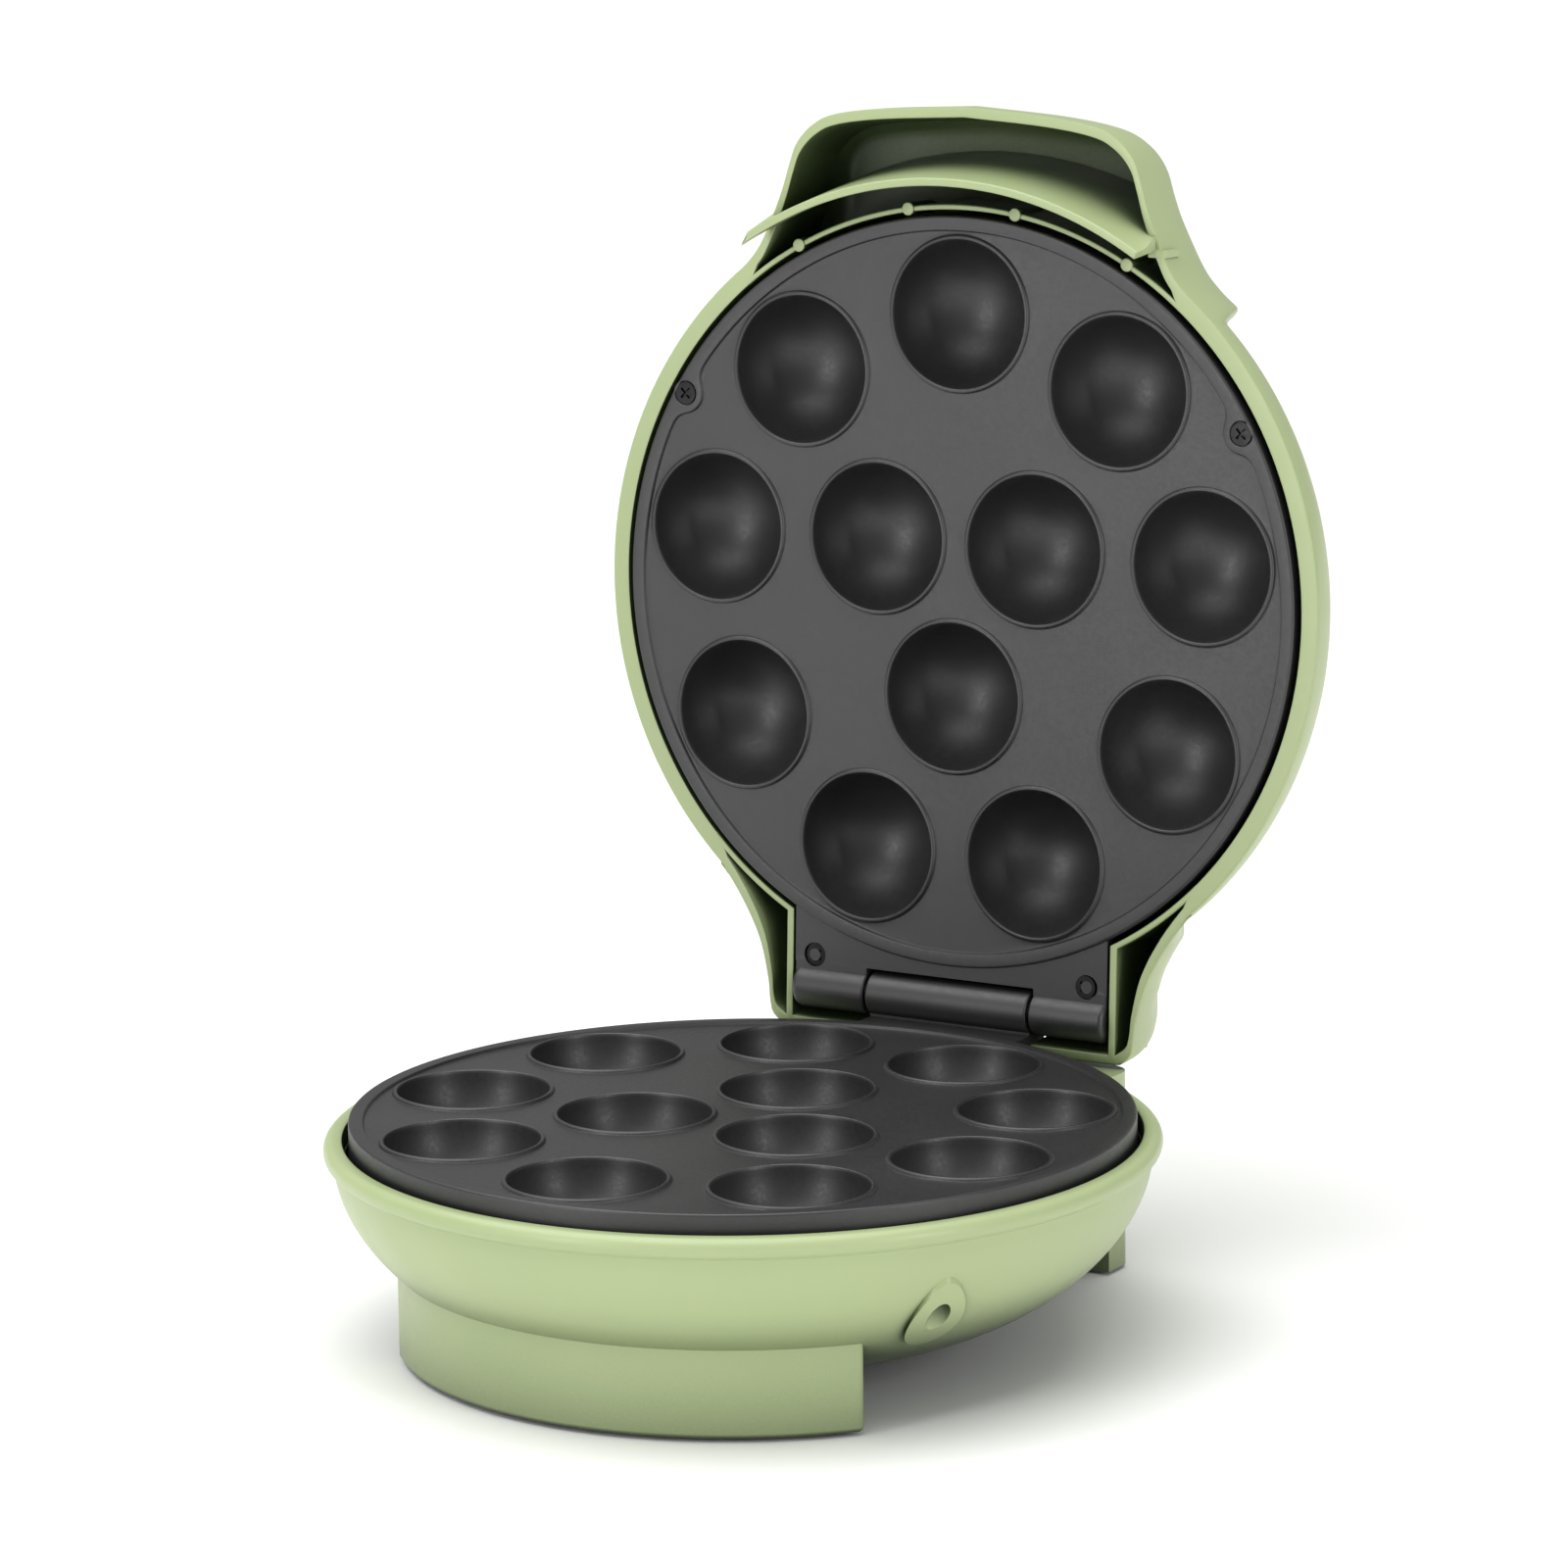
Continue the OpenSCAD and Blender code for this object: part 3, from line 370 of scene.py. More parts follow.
def make_dull(name, low, high, rough_low, rough_high, grain=900, depth=0.00003):
    m = Nodes(name)
    m.colour(m.ramp(m.noise(120, 4), low, high))
    m.rough(m.ramp(m.noise(400, 3), rough_low, rough_high))
    m.bump((m.noise(grain, 3), depth, 0.4))
    return m.material


def make_lens(name, colour):
    m = Nodes(name)
    m.set(Transmission_Weight=0.35, IOR=1.49)
    deep = tuple(c * 0.8 for c in colour)
    m.colour(m.ramp(m.noise(300, 2), deep, colour))
    m.rough(m.ramp(m.noise(500, 2), 0.12, 0.2))
    m.bump((m.noise(1500, 2), 0.00001, 0.2))
    return m.material


green = make_green_plastic()
nonstick = make_nonstick()
NODE_LOOKS = {
    make_metal("screw_black", (0.02, 0.02, 0.021), (0.05, 0.05, 0.052), 0.35, 0.55):
        ("ear_screws", "tab_screws"),
    make_metal("zinc_steel", (0.52, 0.53, 0.55), (0.68, 0.68, 0.66), 0.28, 0.45):
        ("lower_plate_screws", "lower_leaf_screws", "lower_element_clips", "upper_element_clips",
         "lower_reflector_screws", "upper_reflector_screws"),
    make_metal("pin_steel", (0.6, 0.6, 0.62), (0.72, 0.72, 0.72), 0.18, 0.3, (8, 1, 1)):
        ("hinge_pin",),
    make_metal("element_sheath", (0.20, 0.17, 0.14), (0.36, 0.34, 0.32), 0.4, 0.6):
        ("lower_element", "upper_element"),
    make_metal("reflector_sheet", (0.70, 0.71, 0.73), (0.80, 0.80, 0.80), 0.2, 0.38, (1, 12, 1)):
        ("lower_reflector", "upper_reflector"),
    make_dull("phenolic", (0.10, 0.045, 0.02), (0.16, 0.08, 0.04), 0.45, 0.6): ("thermostat",),
    make_dull("ceramic", (0.70, 0.68, 0.62), (0.80, 0.79, 0.75), 0.3, 0.45):
        ("lower_fuse", "upper_fuse", "terminal_block", "lamp_holder"),
    make_dull("wire_sleeve", (0.55, 0.50, 0.38), (0.74, 0.70, 0.58), 0.7, 0.85, 2200, 0.00008):
        ("base_wiring", "lid_wiring"),
    make_dull("inlet_rubber", (0.03, 0.03, 0.03), (0.05, 0.05, 0.05), 0.6, 0.75): ("cord_inlet",),
    make_lens("power_red", (0.62, 0.015, 0.01)): ("power_lens",),
    make_lens("ready_green", (0.04, 0.45, 0.07)): ("ready_lens",),
    make_lens("neon_glass", (0.95, 0.62, 0.40)): ("neon_lamps",),
}
foot_rubber = make_dull("foot_rubber", (0.07, 0.07, 0.072), (0.11, 0.11, 0.11), 0.6, 0.78)

for look, node_names in NODE_LOOKS.items():
    for node_name in node_names:
        node = frame["nodes"][node_name]
        node.data.materials.clear()
        node.data.materials.append(look)


# ---- cooking plates ----
def cavity_centres():
    outer = [(OUTER_RING_R, -90 + 40 * i) for i in range(9)]
    inner = [(INNER_RING_R, 90 + 120 * i) for i in range(3)]
    return [polar(r, a) for r, a in outer + inner]


def ear_centres():
    return [(s * EAR_RING_R * math.sin(math.radians(EAR_ANGLE)),
             -EAR_RING_R * math.cos(math.radians(EAR_ANGLE))) for s in (-1, 1)]


def lip_curve(with_ears):
    """The foot of the lip's inner edge, which swings in round each ear of the upper plate."""
    r = PLATE_R - LIP_W
    if not with_ears:
        return np.array([(x, y) for x, y, _ in circle(r, 0, 360)])
    # the ear's circle meets the lip's circle where both distances hold
    reach = math.degrees(math.acos((r * r + EAR_RING_R ** 2 - EAR_R ** 2) / (2 * r * EAR_RING_R)))
    points = []
    ears = [-90 - EAR_ANGLE, -90 + EAR_ANGLE]
    for i, ear in enumerate(ears):
        points += ear_arc(*polar(EAR_RING_R, ear), ear, reach, r)
        following = ears[(i + 1) % 2] + (360 if i == 1 else 0)
        points += arc(0, 0, r, ear + reach, following - reach, 240 if i else 120)[1:-1]
    curve = resample(np.array(points), 620)
    for _ in range(12):
        curve = (np.roll(curve, 1, 0) + 2 * curve + np.roll(curve, -1, 0)) / 4
    return curve


def ear_arc(cx, cy, ear, reach, r):
    """The part of an ear's circle inside the lip's circle, from one meeting point to the other."""
    x, y = polar(r, ear - reach)
    meeting = math.degrees(math.atan2(y - cy, x - cx)) % 360
    inward = (ear + 180) % 360
    before = (inward - meeting) % 360
    first = inward - before if before < 180 else inward + (meeting - inward) % 360
    return arc(cx, cy, EAR_R, first, 2 * inward - first, 40)


def resample(points, n):
    """n points evenly spaced along a closed curve."""
    closed = np.vstack([points, points[:1]])
    run = np.concatenate([[0], np.cumsum(np.linalg.norm(np.diff(closed, axis=0), axis=1))])
    at = np.linspace(0, run[-1], n, endpoint=False)
    return np.stack([np.interp(at, run, closed[:, k]) for k in (0, 1)], 1)


def offset_curve(points, distance):
    """A closed counter-clockwise curve moved inward by distance."""
    tangent = np.roll(points, -1, 0) - np.roll(points, 1, 0)
    tangent /= np.linalg.norm(tangent, axis=1)[:, None]
    return points + distance * np.stack([-tangent[:, 1], tangent[:, 0]], 1)


BEAD = [(19.06, -0.42), (19.18, -0.16), (19.4, -0.02), (19.75, -0.02), (20.0, -0.14), (20.2, -0.42),
        (20.34, -0.76), (20.6, -LIP_H)]
LIP_FILLET = [(0.35, -LIP_H), (0.12, -0.8), (-0.05, -0.5), (-0.22, -0.16), (-0.5, 0.0)]


def plate_shell(bm, with_ears):
    """The plate's skin with its cavities, beads, lip and skirt, as one closed surface."""
    bottom = -LIP_H - SKIN
    centres = cavity_centres()
    mouths, cups = [], []
    for at in centres:
        steps = np.radians(np.concatenate([np.linspace(0, 84, 22), [87.5]]))
        bowl = [(CAVITY_R * math.sin(t), -CAVITY_R * math.cos(t)) for t in steps]
        mouths.append(lathe(bm, bowl + BEAD, 96, at)[-1])
        outer = CAVITY_R + CUP_WALL
        top = math.acos(-bottom / outer)
        cup = [(outer * math.sin(t), -outer * math.cos(t)) for t in np.linspace(0, top, 16)]
        cups.append(lathe(bm, cup, 64, at)[-1])
    foot = lip_curve(with_ears)
    rows = []
    for inward, z in LIP_FILLET:
        rows.append(ring(bm, [(x, y, z) for x, y in offset_curve(foot, inward)]))
    for a, b in zip(rows, rows[1:]):
        band(bm, a, b)
    fill(bm, rows[0], *mouths)
    holes = []
    if with_ears:
        for at in ear_centres():
            holes.append(lathe(bm, [(0, -1.35), (HEAD_R + 0.3, -1.3), (HEAD_R + 0.3, -0.2),
                                    (HEAD_R + 0.5, 0.0)], 48, at)[-1])
    inside = PLATE_R - SKIRT_WALL
    edge = [(PLATE_R - 0.7, 0.0), (PLATE_R - 0.32, -0.09), (PLATE_R - 0.09, -0.32),
            (PLATE_R, -0.7), (PLATE_R, -SKIRT + 0.3), (PLATE_R - 0.3, -SKIRT), (inside, -SKIRT),
            (inside, bottom - 0.6), (inside - 0.6, bottom)]
    skirt = lathe(bm, edge, 360)
    fill(bm, rows[-1], skirt[0], *holes)
    fill(bm, skirt[-1], *cups)


def plate_underside():
    """Element seat, posts, pads and pillars that stand on the skin's hidden side."""
    bm = bmesh.new()
    top = -LIP_H - 1
    seat = [(44.5, top), (44.5, -14), (46.2, -14), (47.4, -11.9), (49.5, -10.8), (51.6, -11.9),
            (52.8, -14), (54.5, -14), (54.5, top)]
    rows = lathe(bm, seat, 128)
    band(bm, rows[-1], rows[0])
    for a in (-30, 90, 210):
        pole_cylinder(bm, 3.2, -23, top, 0.3, 40, polar(76, a))
    for a in (30, 150):
        pole_cylinder(bm, 6, -8, top, 0.3, 48, polar(30, a))
    for x, y in ear_centres():
        pole_cylinder(bm, 4.6, -16, top, 0.3, 48, (x * 0.985, y * 0.985))
    parts = solid("underside", bm)
    bm = bmesh.new()
    for x, y in cavity_centres():
        bmesh.ops.create_uvsphere(bm, u_segments=48, v_segments=24, radius=CAVITY_R + 1.2,
                                  matrix=Matrix.Translation((x, y, 0)))
    return combine(parts, solid("bowls", bm), "DIFFERENCE")


def barrel(bm, x0, x1, left_round, right_round, bore):
    """A hinge barrel along X with rounded ends, and its bore."""
    def end(x, edge, side):
        steps = np.linspace(0, math.pi / 2, 6)
        return [(x + side * edge * (math.sin(t) - 1), KNUCKLE_R - edge + edge * math.cos(t))
                for t in steps]

    left, right = end(x0, left_round, -1), end(x1, right_round, 1)
    profile = [(x0, bore)] + left[::-1] + right + [(x1, bore)]
    rows = []
    for x, r in profile:
        points = [(x, HINGE_Y + r * math.cos(a), HINGE_Z + r * math.sin(a))
                  for a in np.linspace(0, 2 * math.pi, 96, endpoint=False)]
        rows.append(ring(bm, points))
    for a, b in zip(rows, rows[1:]):
        band(bm, a, b)
    band(bm, rows[-1], rows[0])


def leaf_screws():
    return both_sides([(LEAF_SCREW_X, HINGE_Y + LEAF_SCREW_BACK)])


def bevelled_box(name, *corners, width=0.5):
    bm = bmesh.new()
    box(bm, *corners)
    bevel(bm, width)
    return solid(name, bm)


def make_lower_plate():
    bm = bmesh.new()
    plate_shell(bm, False)
    plate = solid("lower_plate_cast", bm)
    combine(plate, plate_underside(), "UNION")
    half = MID_BARREL / 2
    back = HINGE_Y + KNUCKLE_R - 0.6
    leaf = -LIP_H - LEAF_T
    leaf_box = bevelled_box("leaf", -half, half, PLATE_R - 6, back, leaf, -LIP_H - 0.05)
    combine(plate, leaf_box, "UNION")
    web = bevelled_box("web", -half, half, HINGE_Y - 3, back, leaf, HINGE_Z)
    combine(plate, web, "UNION")
    bm = bmesh.new()
    barrel(bm, -half, half, 0.7, 0.7, PIN_R)
    combine(plate, solid("barrel", bm), "UNION")
    bm = bmesh.new()
    for at in leaf_screws():
        pole_cylinder(bm, 4, DECK_Z, leaf + 1, 0.3, 48, at)
    combine(plate, solid("leaf_bosses", bm), "UNION")
    finish_piece(plate, ON_BASE, "base", nonstick, ["lower_plate"])


def make_upper_plate():
    bm = bmesh.new()
    plate_shell(bm, True)
    bm.transform(FACE_DOWN)
    plate = solid("upper_plate_cast", bm)
    underside = plate_underside()
    underside.data.transform(FACE_DOWN)
    underside.data.flip_normals()
    combine(plate, underside, "UNION")
    tab_z = PLATE_GAP + LIP_H
    notch = HINGE_Y - KNUCKLE_R - 1
    under_lip = PLATE_R - LIP_W + 1.2
    lean = math.degrees(math.acos(TAB_HALF / under_lip))
    outline = [(-TAB_HALF, notch), (TAB_HALF, notch)] + arc(0, 0, under_lip, lean, 180 - lean, 60)
    combine(plate, prism_solid("tab", outline, tab_z + 0.05, tab_z + LEAF_T), "UNION")
    for s in (-1, 1):
        x0, x1 = sorted((s * SIDE_BARREL_X, s * TAB_HALF))
        arm = bevelled_box("arm", x0, x1, notch - 1, HINGE_Y, tab_z, tab_z + LEAF_T)
        combine(plate, arm, "UNION")
        bm = bmesh.new()
        inner, outer = 0.7, 1.6
        barrel(bm, x0, x1, outer if s < 0 else inner, outer if s > 0 else inner, PIN_R + 0.05)
        combine(plate, solid("barrel", bm), "UNION")
    bm = bmesh.new()
    for at in both_sides([(40.2, HINGE_Y - 8.8)]):
        pole_cylinder(bm, HEAD_R + 0.3, tab_z - 1, tab_z + 1.2, 0.1, 48, at)
        pole_cylinder(bm, SCREW_R + 0.1, tab_z - 1, tab_z + LEAF_T + 3, 0.1, 32, at)
    combine(plate, solid("screw_holes", bm), "DIFFERENCE")
    finish_piece(plate, ON_LID, "lid", nonstick, ["upper_plate"])


# ---- base ----
def bowl_profile(inset):
    return round_section(RIM_R - RIM_STEP - inset, -RIM_DROP - RIM_H, BOWL_FLOOR_R - inset / 2,
                         -BOWL_DEPTH + inset, 1.1, 40)


def sector_outline(r0, r1, half, n=72):
    """The plan of a curved bar across the front, from radius r0 to r1."""
    return arc(0, 0, r1, -90 - half, -90 + half, n) + arc(0, 0, r0, -90 + half, -90 - half, n)


def block_outline(inset, y0, x_min=None):
    """The rear block's plan from y0 back, or one leg's part of it from x_min out."""
    corner = BLOCK_CORNER - min(inset, 3)
    half = BLOCK_HALF - inset
    reach = BLOCK_R - inset
    cy = math.sqrt((reach - corner) ** 2 - (half - corner) ** 2)
    lean = math.degrees(math.atan2(half - corner, cy))
    start = 90 - lean
    side = arc(half - corner, cy, corner, 0, start, 8)
    if x_min is None:
        back = arc(0, 0, reach, start, 180 - start, 40)[1:-1]
        return [(half, y0)] + side + back + [(-x, y) for x, y in reversed(side)] + [(-half, y0)]
    stop = math.degrees(math.acos(x_min / reach))
    back = arc(0, 0, reach, start, stop, 12)[1:]
    return [(half, y0)] + side + back + [(x_min, y0)]


def prism_solid(name, outline, z0, z1, width=0.0, segments=3):
    bm = bmesh.new()
    prism(bm, outline, z0, z1)
    if width:
        bevel(bm, width, segments, 40)
    return solid(name, bm)


def base_shell():
    """The bowl and its rolled rim, still solid."""
    rim_z = -RIM_DROP
    arc_r = RIM_H / 2 + 0.1
    centre = (RIM_R - arc_r, rim_z - arc_r)
    rim = [(centre[0] + arc_r * math.cos(t), centre[1] + arc_r * math.sin(t))
           for t in np.radians(np.linspace(90, -58, 18))]
    outer = bowl_profile(0)
    foot = [(outer[0][0] + 0.45, outer[0][1] - 0.15), (outer[0][0] + 0.12, outer[0][1] - 0.45)]
    wall = [p for p in outer if p[1] < outer[0][1] - 0.8]
    bm = bmesh.new()
    lathe(bm, [(0, rim_z), (RING_R - 2, rim_z)] + rim + foot + wall + [(0, -BOWL_DEPTH)])
    return solid("base_shell", bm)


def add_legs(base):
    plan = sector_outline(LEG_R - LEG_DEPTH, LEG_R, LEG_HALF)
    combine(base, prism_solid("leg", plan, FOOT_Z, LEG_TOP, 1.3, 4), "UNION")
    block = prism_solid("block", block_outline(0, BLOCK_FRONT), BLOCK_LOW, DECK_Z, 0.9)
    combine(base, block, "UNION")
    for s in (-1, 1):
        outline = [(s * x, y) for x, y in block_outline(0, REAR_LEG_FRONT, REAR_LEG_X)]
        combine(base, prism_solid("rear_leg", outline, FOOT_Z, DECK_Z - 4, 0.9), "UNION")


def tunnel_ridges():
    """The screw tunnels' outsides, which stand a little proud of the bowl."""
    bm = bmesh.new()
    for x, y in ear_centres():
        lathe(bm, [(0, -46), (13, -46), (1.2, -12), (0, -12)], 72, (x * 1.02, y * 1.02))
    ridges = solid("ridges", bm)
    bm = bmesh.new()
    proud = [(r + TUNNEL_PROUD, z - 0.7) for r, z in bowl_profile(0)]
    lathe(bm, [(0, -9)] + [(proud[0][0], -9)] + proud + [(0, proud[-1][1])])
    return combine(ridges, solid("bowl", bm), "INTERSECT")


def base_room():
    """The space inside the bowl and the block, without the screw bosses that stand in it."""
    rim_z = -RIM_DROP
    bm = bmesh.new()
    inner = bowl_profile(WALL)
    lathe(bm, [(0, 5), (RING_R + 0.6, 5), (RING_R + 0.6, rim_z), (RING_R + 0.2, rim_z - 0.15),
               (RING_R, rim_z - 0.5), (RING_R, rim_z - RIM_H), (inner[0][0] - 0.2, rim_z - RIM_H - 0.2)]
          + inner[2:] + [(0, -BOWL_DEPTH + WALL)])
    cavity = solid("cavity", bm)
    block_room = prism_solid("block_room", block_outline(WALL, 20), BLOCK_LOW + WALL, DECK_Z - WALL)
    combine(cavity, block_room, "UNION")
    bm = bmesh.new()
    for at in ear_centres():
        pole_cylinder(bm, 5.8, -BOWL_DEPTH, -16.2, 0.3, 48, at)
    for at in both_sides([(12, 40)]):
        pole_cylinder(bm, 3, -BOWL_DEPTH, -46.5, 0.3, 32, at)
    return combine(cavity, solid("bosses", bm), "DIFFERENCE")


def hollow_legs(base):
    plan = sector_outline(LEG_R - LEG_DEPTH + WALL, LEG_R - WALL, LEG_HALF - 1.8)
    combine(base, prism_solid("leg_room", plan, FOOT_Z - 2, LEG_ROOM_TOP), "DIFFERENCE")
    for s in (-1, 1):
        outline = [(s * x, y)
                   for x, y in block_outline(WALL, REAR_LEG_FRONT + WALL, REAR_LEG_X + WALL)]
        room = prism_solid("rear_room", outline, FOOT_Z - 2, BLOCK_LOW - 1)
        combine(base, room, "DIFFERENCE")


def cut_base_holes(base):
    """The plate's and the leaf's screw holes, and the hole for the cord's bushing."""
    bm = bmesh.new()
    for at in ear_centres():
        pole_cylinder(bm, HEAD_R + 0.1, -BOWL_DEPTH - 2, -20.5, 0.2, 48, at)
        pole_cylinder(bm, SCREW_R + 0.1, -24, -10, 0.1, 32, at)
    for at in leaf_screws():
        pole_cylinder(bm, SCREW_R + 0.1, DECK_Z - WALL - 2, DECK_Z + 2, 0.1, 32, at)
    combine(base, solid("screw_holes", bm), "DIFFERENCE")
    bm = bmesh.new()
    pole_cylinder(bm, INLET_R, -10, 20, 0.1, 64)
    outward = Matrix.Rotation(math.pi / 2, 4, "X")
    bm.transform(Matrix.Translation((0, BLOCK_R, INLET_Z)) @ outward)
    combine(base, solid("inlet_hole", bm), "DIFFERENCE")


def pad_bosses():
    """Cups in the legs that the rubber feet sit in."""
    bm = bmesh.new()
    seat, top = FOOT_Z + PAD_SEAT_H, FOOT_Z + PAD_BOSS_H
    for at in pad_places():
        outside = [(PAD_SEAT_R, FOOT_Z), (PAD_BOSS_R, FOOT_Z), (PAD_BOSS_R, top), (0, top)]
        rows = lathe(bm, outside, 48, at)
        low = lathe(bm, [(PAD_SEAT_R, seat), (0, seat)], 48, at)
        band(bm, rows[0], low[0])
    return solid("pad_bosses", bm)


def make_base():
    base = base_shell()
    add_legs(base)
    combine(base, tunnel_ridges(), "UNION")
    combine(base, base_room(), "DIFFERENCE")
    hollow_legs(base)
    cut_base_holes(base)
    combine(base, pad_bosses(), "UNION")
    finish_piece(base, ON_BASE, "base", green, ["base_housing"])


def pad_places():
    a = math.radians(42)
    r = LEG_R - LEG_DEPTH / 2
    return both_sides([(r * math.sin(a), -r * math.cos(a)), (45, 101)])


def make_pads():
    """Rubber feet with a domed edge where they meet the table."""
    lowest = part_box("front_foot_pads")[0].z / MM - FACE_Z / MM
    profile = [(0, lowest), (3.9, lowest), (4.6, lowest + 0.14), (4.92, lowest + 0.5),
               (5.0, lowest + 0.9), (5.0, FOOT_Z + PAD_SEAT_H), (0, FOOT_Z + PAD_SEAT_H)]
    groups = {"front_feet": (pad_places()[0::2], "front_foot_pads"),
              "rear_feet": (pad_places()[1::2], "rear_foot_pads")}
    for name, (places, node_name) in groups.items():
        bm = bmesh.new()
        for at in places:
            lathe(bm, profile, 48, at)
        finish_piece(solid(name, bm), ON_BASE, "base", foot_rubber, [node_name])


# ---- lid ----
# Half outlines at the rim, from where each leaves the round rim to its middle
NECK_SIDE = [(74.5, 71.6), (69.6, 76.4), (62.3, 86.3), (57.1, 96.2), (54.5, 106.4), (53.9, 111.6),
             (53.0, 115.0), (50.6, 117.0), (47.4, HINGE_Y + 10.6), (24, HINGE_Y + 10.6),
             (0, HINGE_Y + 10.6)]
HOOD_SIDE = [(70, -75.9), (65.3, -80.0), (62.1, -83.3), (59.5, -86.9), (56.5, -93.1), (53.3, -100.9),
             (50.9, -108.6), (48.9, -113.6), (44.6, -118.1), (38.2, -121.1), (24, -123.2),
             (0, -HOOD_END)]


def spline(points, n=24):
    """A Catmull-Rom curve through the points."""
    p = np.array(points, float)
    p = np.vstack([2 * p[0] - p[1], p, 2 * p[-1] - p[-2]])
    out = []
    for i in range(1, len(p) - 2):
        for t in np.linspace(0, 1, n, endpoint=False):
            a, b, c, d = p[i - 1:i + 3]
            out.append(0.5 * (2 * b + (c - a) * t + (2 * a - 5 * b + 4 * c - d) * t * t
                              + (3 * b - a - 3 * c + d) * t ** 3))
    out.append(p[-2])
    return np.array(out)


def by_angle(side):
    """A half outline as angles from its axis, in order, and the radius at each."""
    half = spline(side)
    away = np.abs(np.arctan2(half[:, 0], np.abs(half[:, 1])))
    order = np.argsort(away)
    return away[order], np.hypot(half[:, 0], half[:, 1])[order]


OUTLINES = [(-math.pi / 2, by_angle(HOOD_SIDE)), (math.pi / 2, by_angle(NECK_SIDE))]


def angle_from(angles, axis):
    """How far each angle is from the axis, either way round."""
    return np.abs((angles - axis + math.pi) % (2 * math.pi) - math.pi)


def outline_radius(angles):
    """The lid's outline at the rim, as a radius for each angle."""
    rho = np.full_like(angles, RIM_R)
    for axis, (away, radius) in OUTLINES:
        rho = np.maximum(rho, np.interp(angle_from(angles, axis), away, radius, right=0))
    return rho


def rounded(u, q):
    """Height of a rounded edge: 0 at u = 0, upright there, 1 from u = 1 on."""
    u = np.clip(u, 0, 1)
    return (1 - (1 - u) ** q) ** (1 / q)


def ramp_up(u):
    """Smooth rise from 0 at u = 0 to 1 at u = 1."""
    u = np.clip(u, 0, 1)
    return u * u * (3 - 2 * u)


def lid_height(x, y):
    """The lid's outer surface above a point of its plan, closed: dome, handle and neck blended."""
    r = np.hypot(x, y)
    angles = np.arctan2(y, x)
    rho = outline_radius(angles)
    step = 0.03
    slope = (outline_radius(angles + step) - outline_radius(angles - step)) / (2 * step)
    edge = np.maximum(rho - r, 0) * rho / np.hypot(rho, slope)
    out = np.clip((r - CROWN_R) / (RIM_R - CROWN_R), 0, 1)
    dome = (LID_TOP_Z - LID_RIM_Z) * (1 - out ** (2 / 0.9)) ** 0.45
    hood_half = np.interp(-y, [36, 56, 76, 90], [0, 44, 86, 130])
    hood_top = HOOD_H - 1.5 + 0.165 * np.clip(HOOD_END + y, 0, 60)
    hood = hood_top * rounded(edge / HOOD_EDGE_R, 2.6) * ramp_up((hood_half - np.abs(x)) / 20)
    neck_half = np.interp(y, [40, 60, 84, 96], [0, 40, 80, 120])
    neck_top = NECK_H - 1
    neck = neck_top * rounded(edge / NECK_EDGE_R, 2.1) * ramp_up((neck_half - np.abs(x)) / 24)
    height = dome
    for part in (hood, neck):
        blend = 5.0 * np.clip(edge / HOOD_EDGE_R, 0, 1) * np.clip(part / 8.0, 0, 1)
        height = (height + part + np.sqrt((height - part) ** 2 + blend ** 2) - blend * 0.15) / 2
    return LID_RIM_Z + height


def lid_wall(angles):
    """Width of the rim's face, and how far the inner wall leans in with depth, for each angle."""
    hood, neck = angle_from(angles, -math.pi / 2), angle_from(angles, math.pi / 2)
    in_hood = np.clip((math.radians(39.5) - hood) / math.radians(3), 0, 1)
    in_neck = np.clip((math.radians(45) - neck) / math.radians(3), 0, 1)
    side = np.clip((neck - math.radians(20)) / math.radians(6), 0, 1)
    width = RIM_W + in_hood * (HOOD_WALL - RIM_W) + in_neck * (HOOD_WALL - RIM_W)
    lean = 0.2 + in_hood * 1.2 + in_neck * (1.0 + 5.0 * side)
    return width, lean


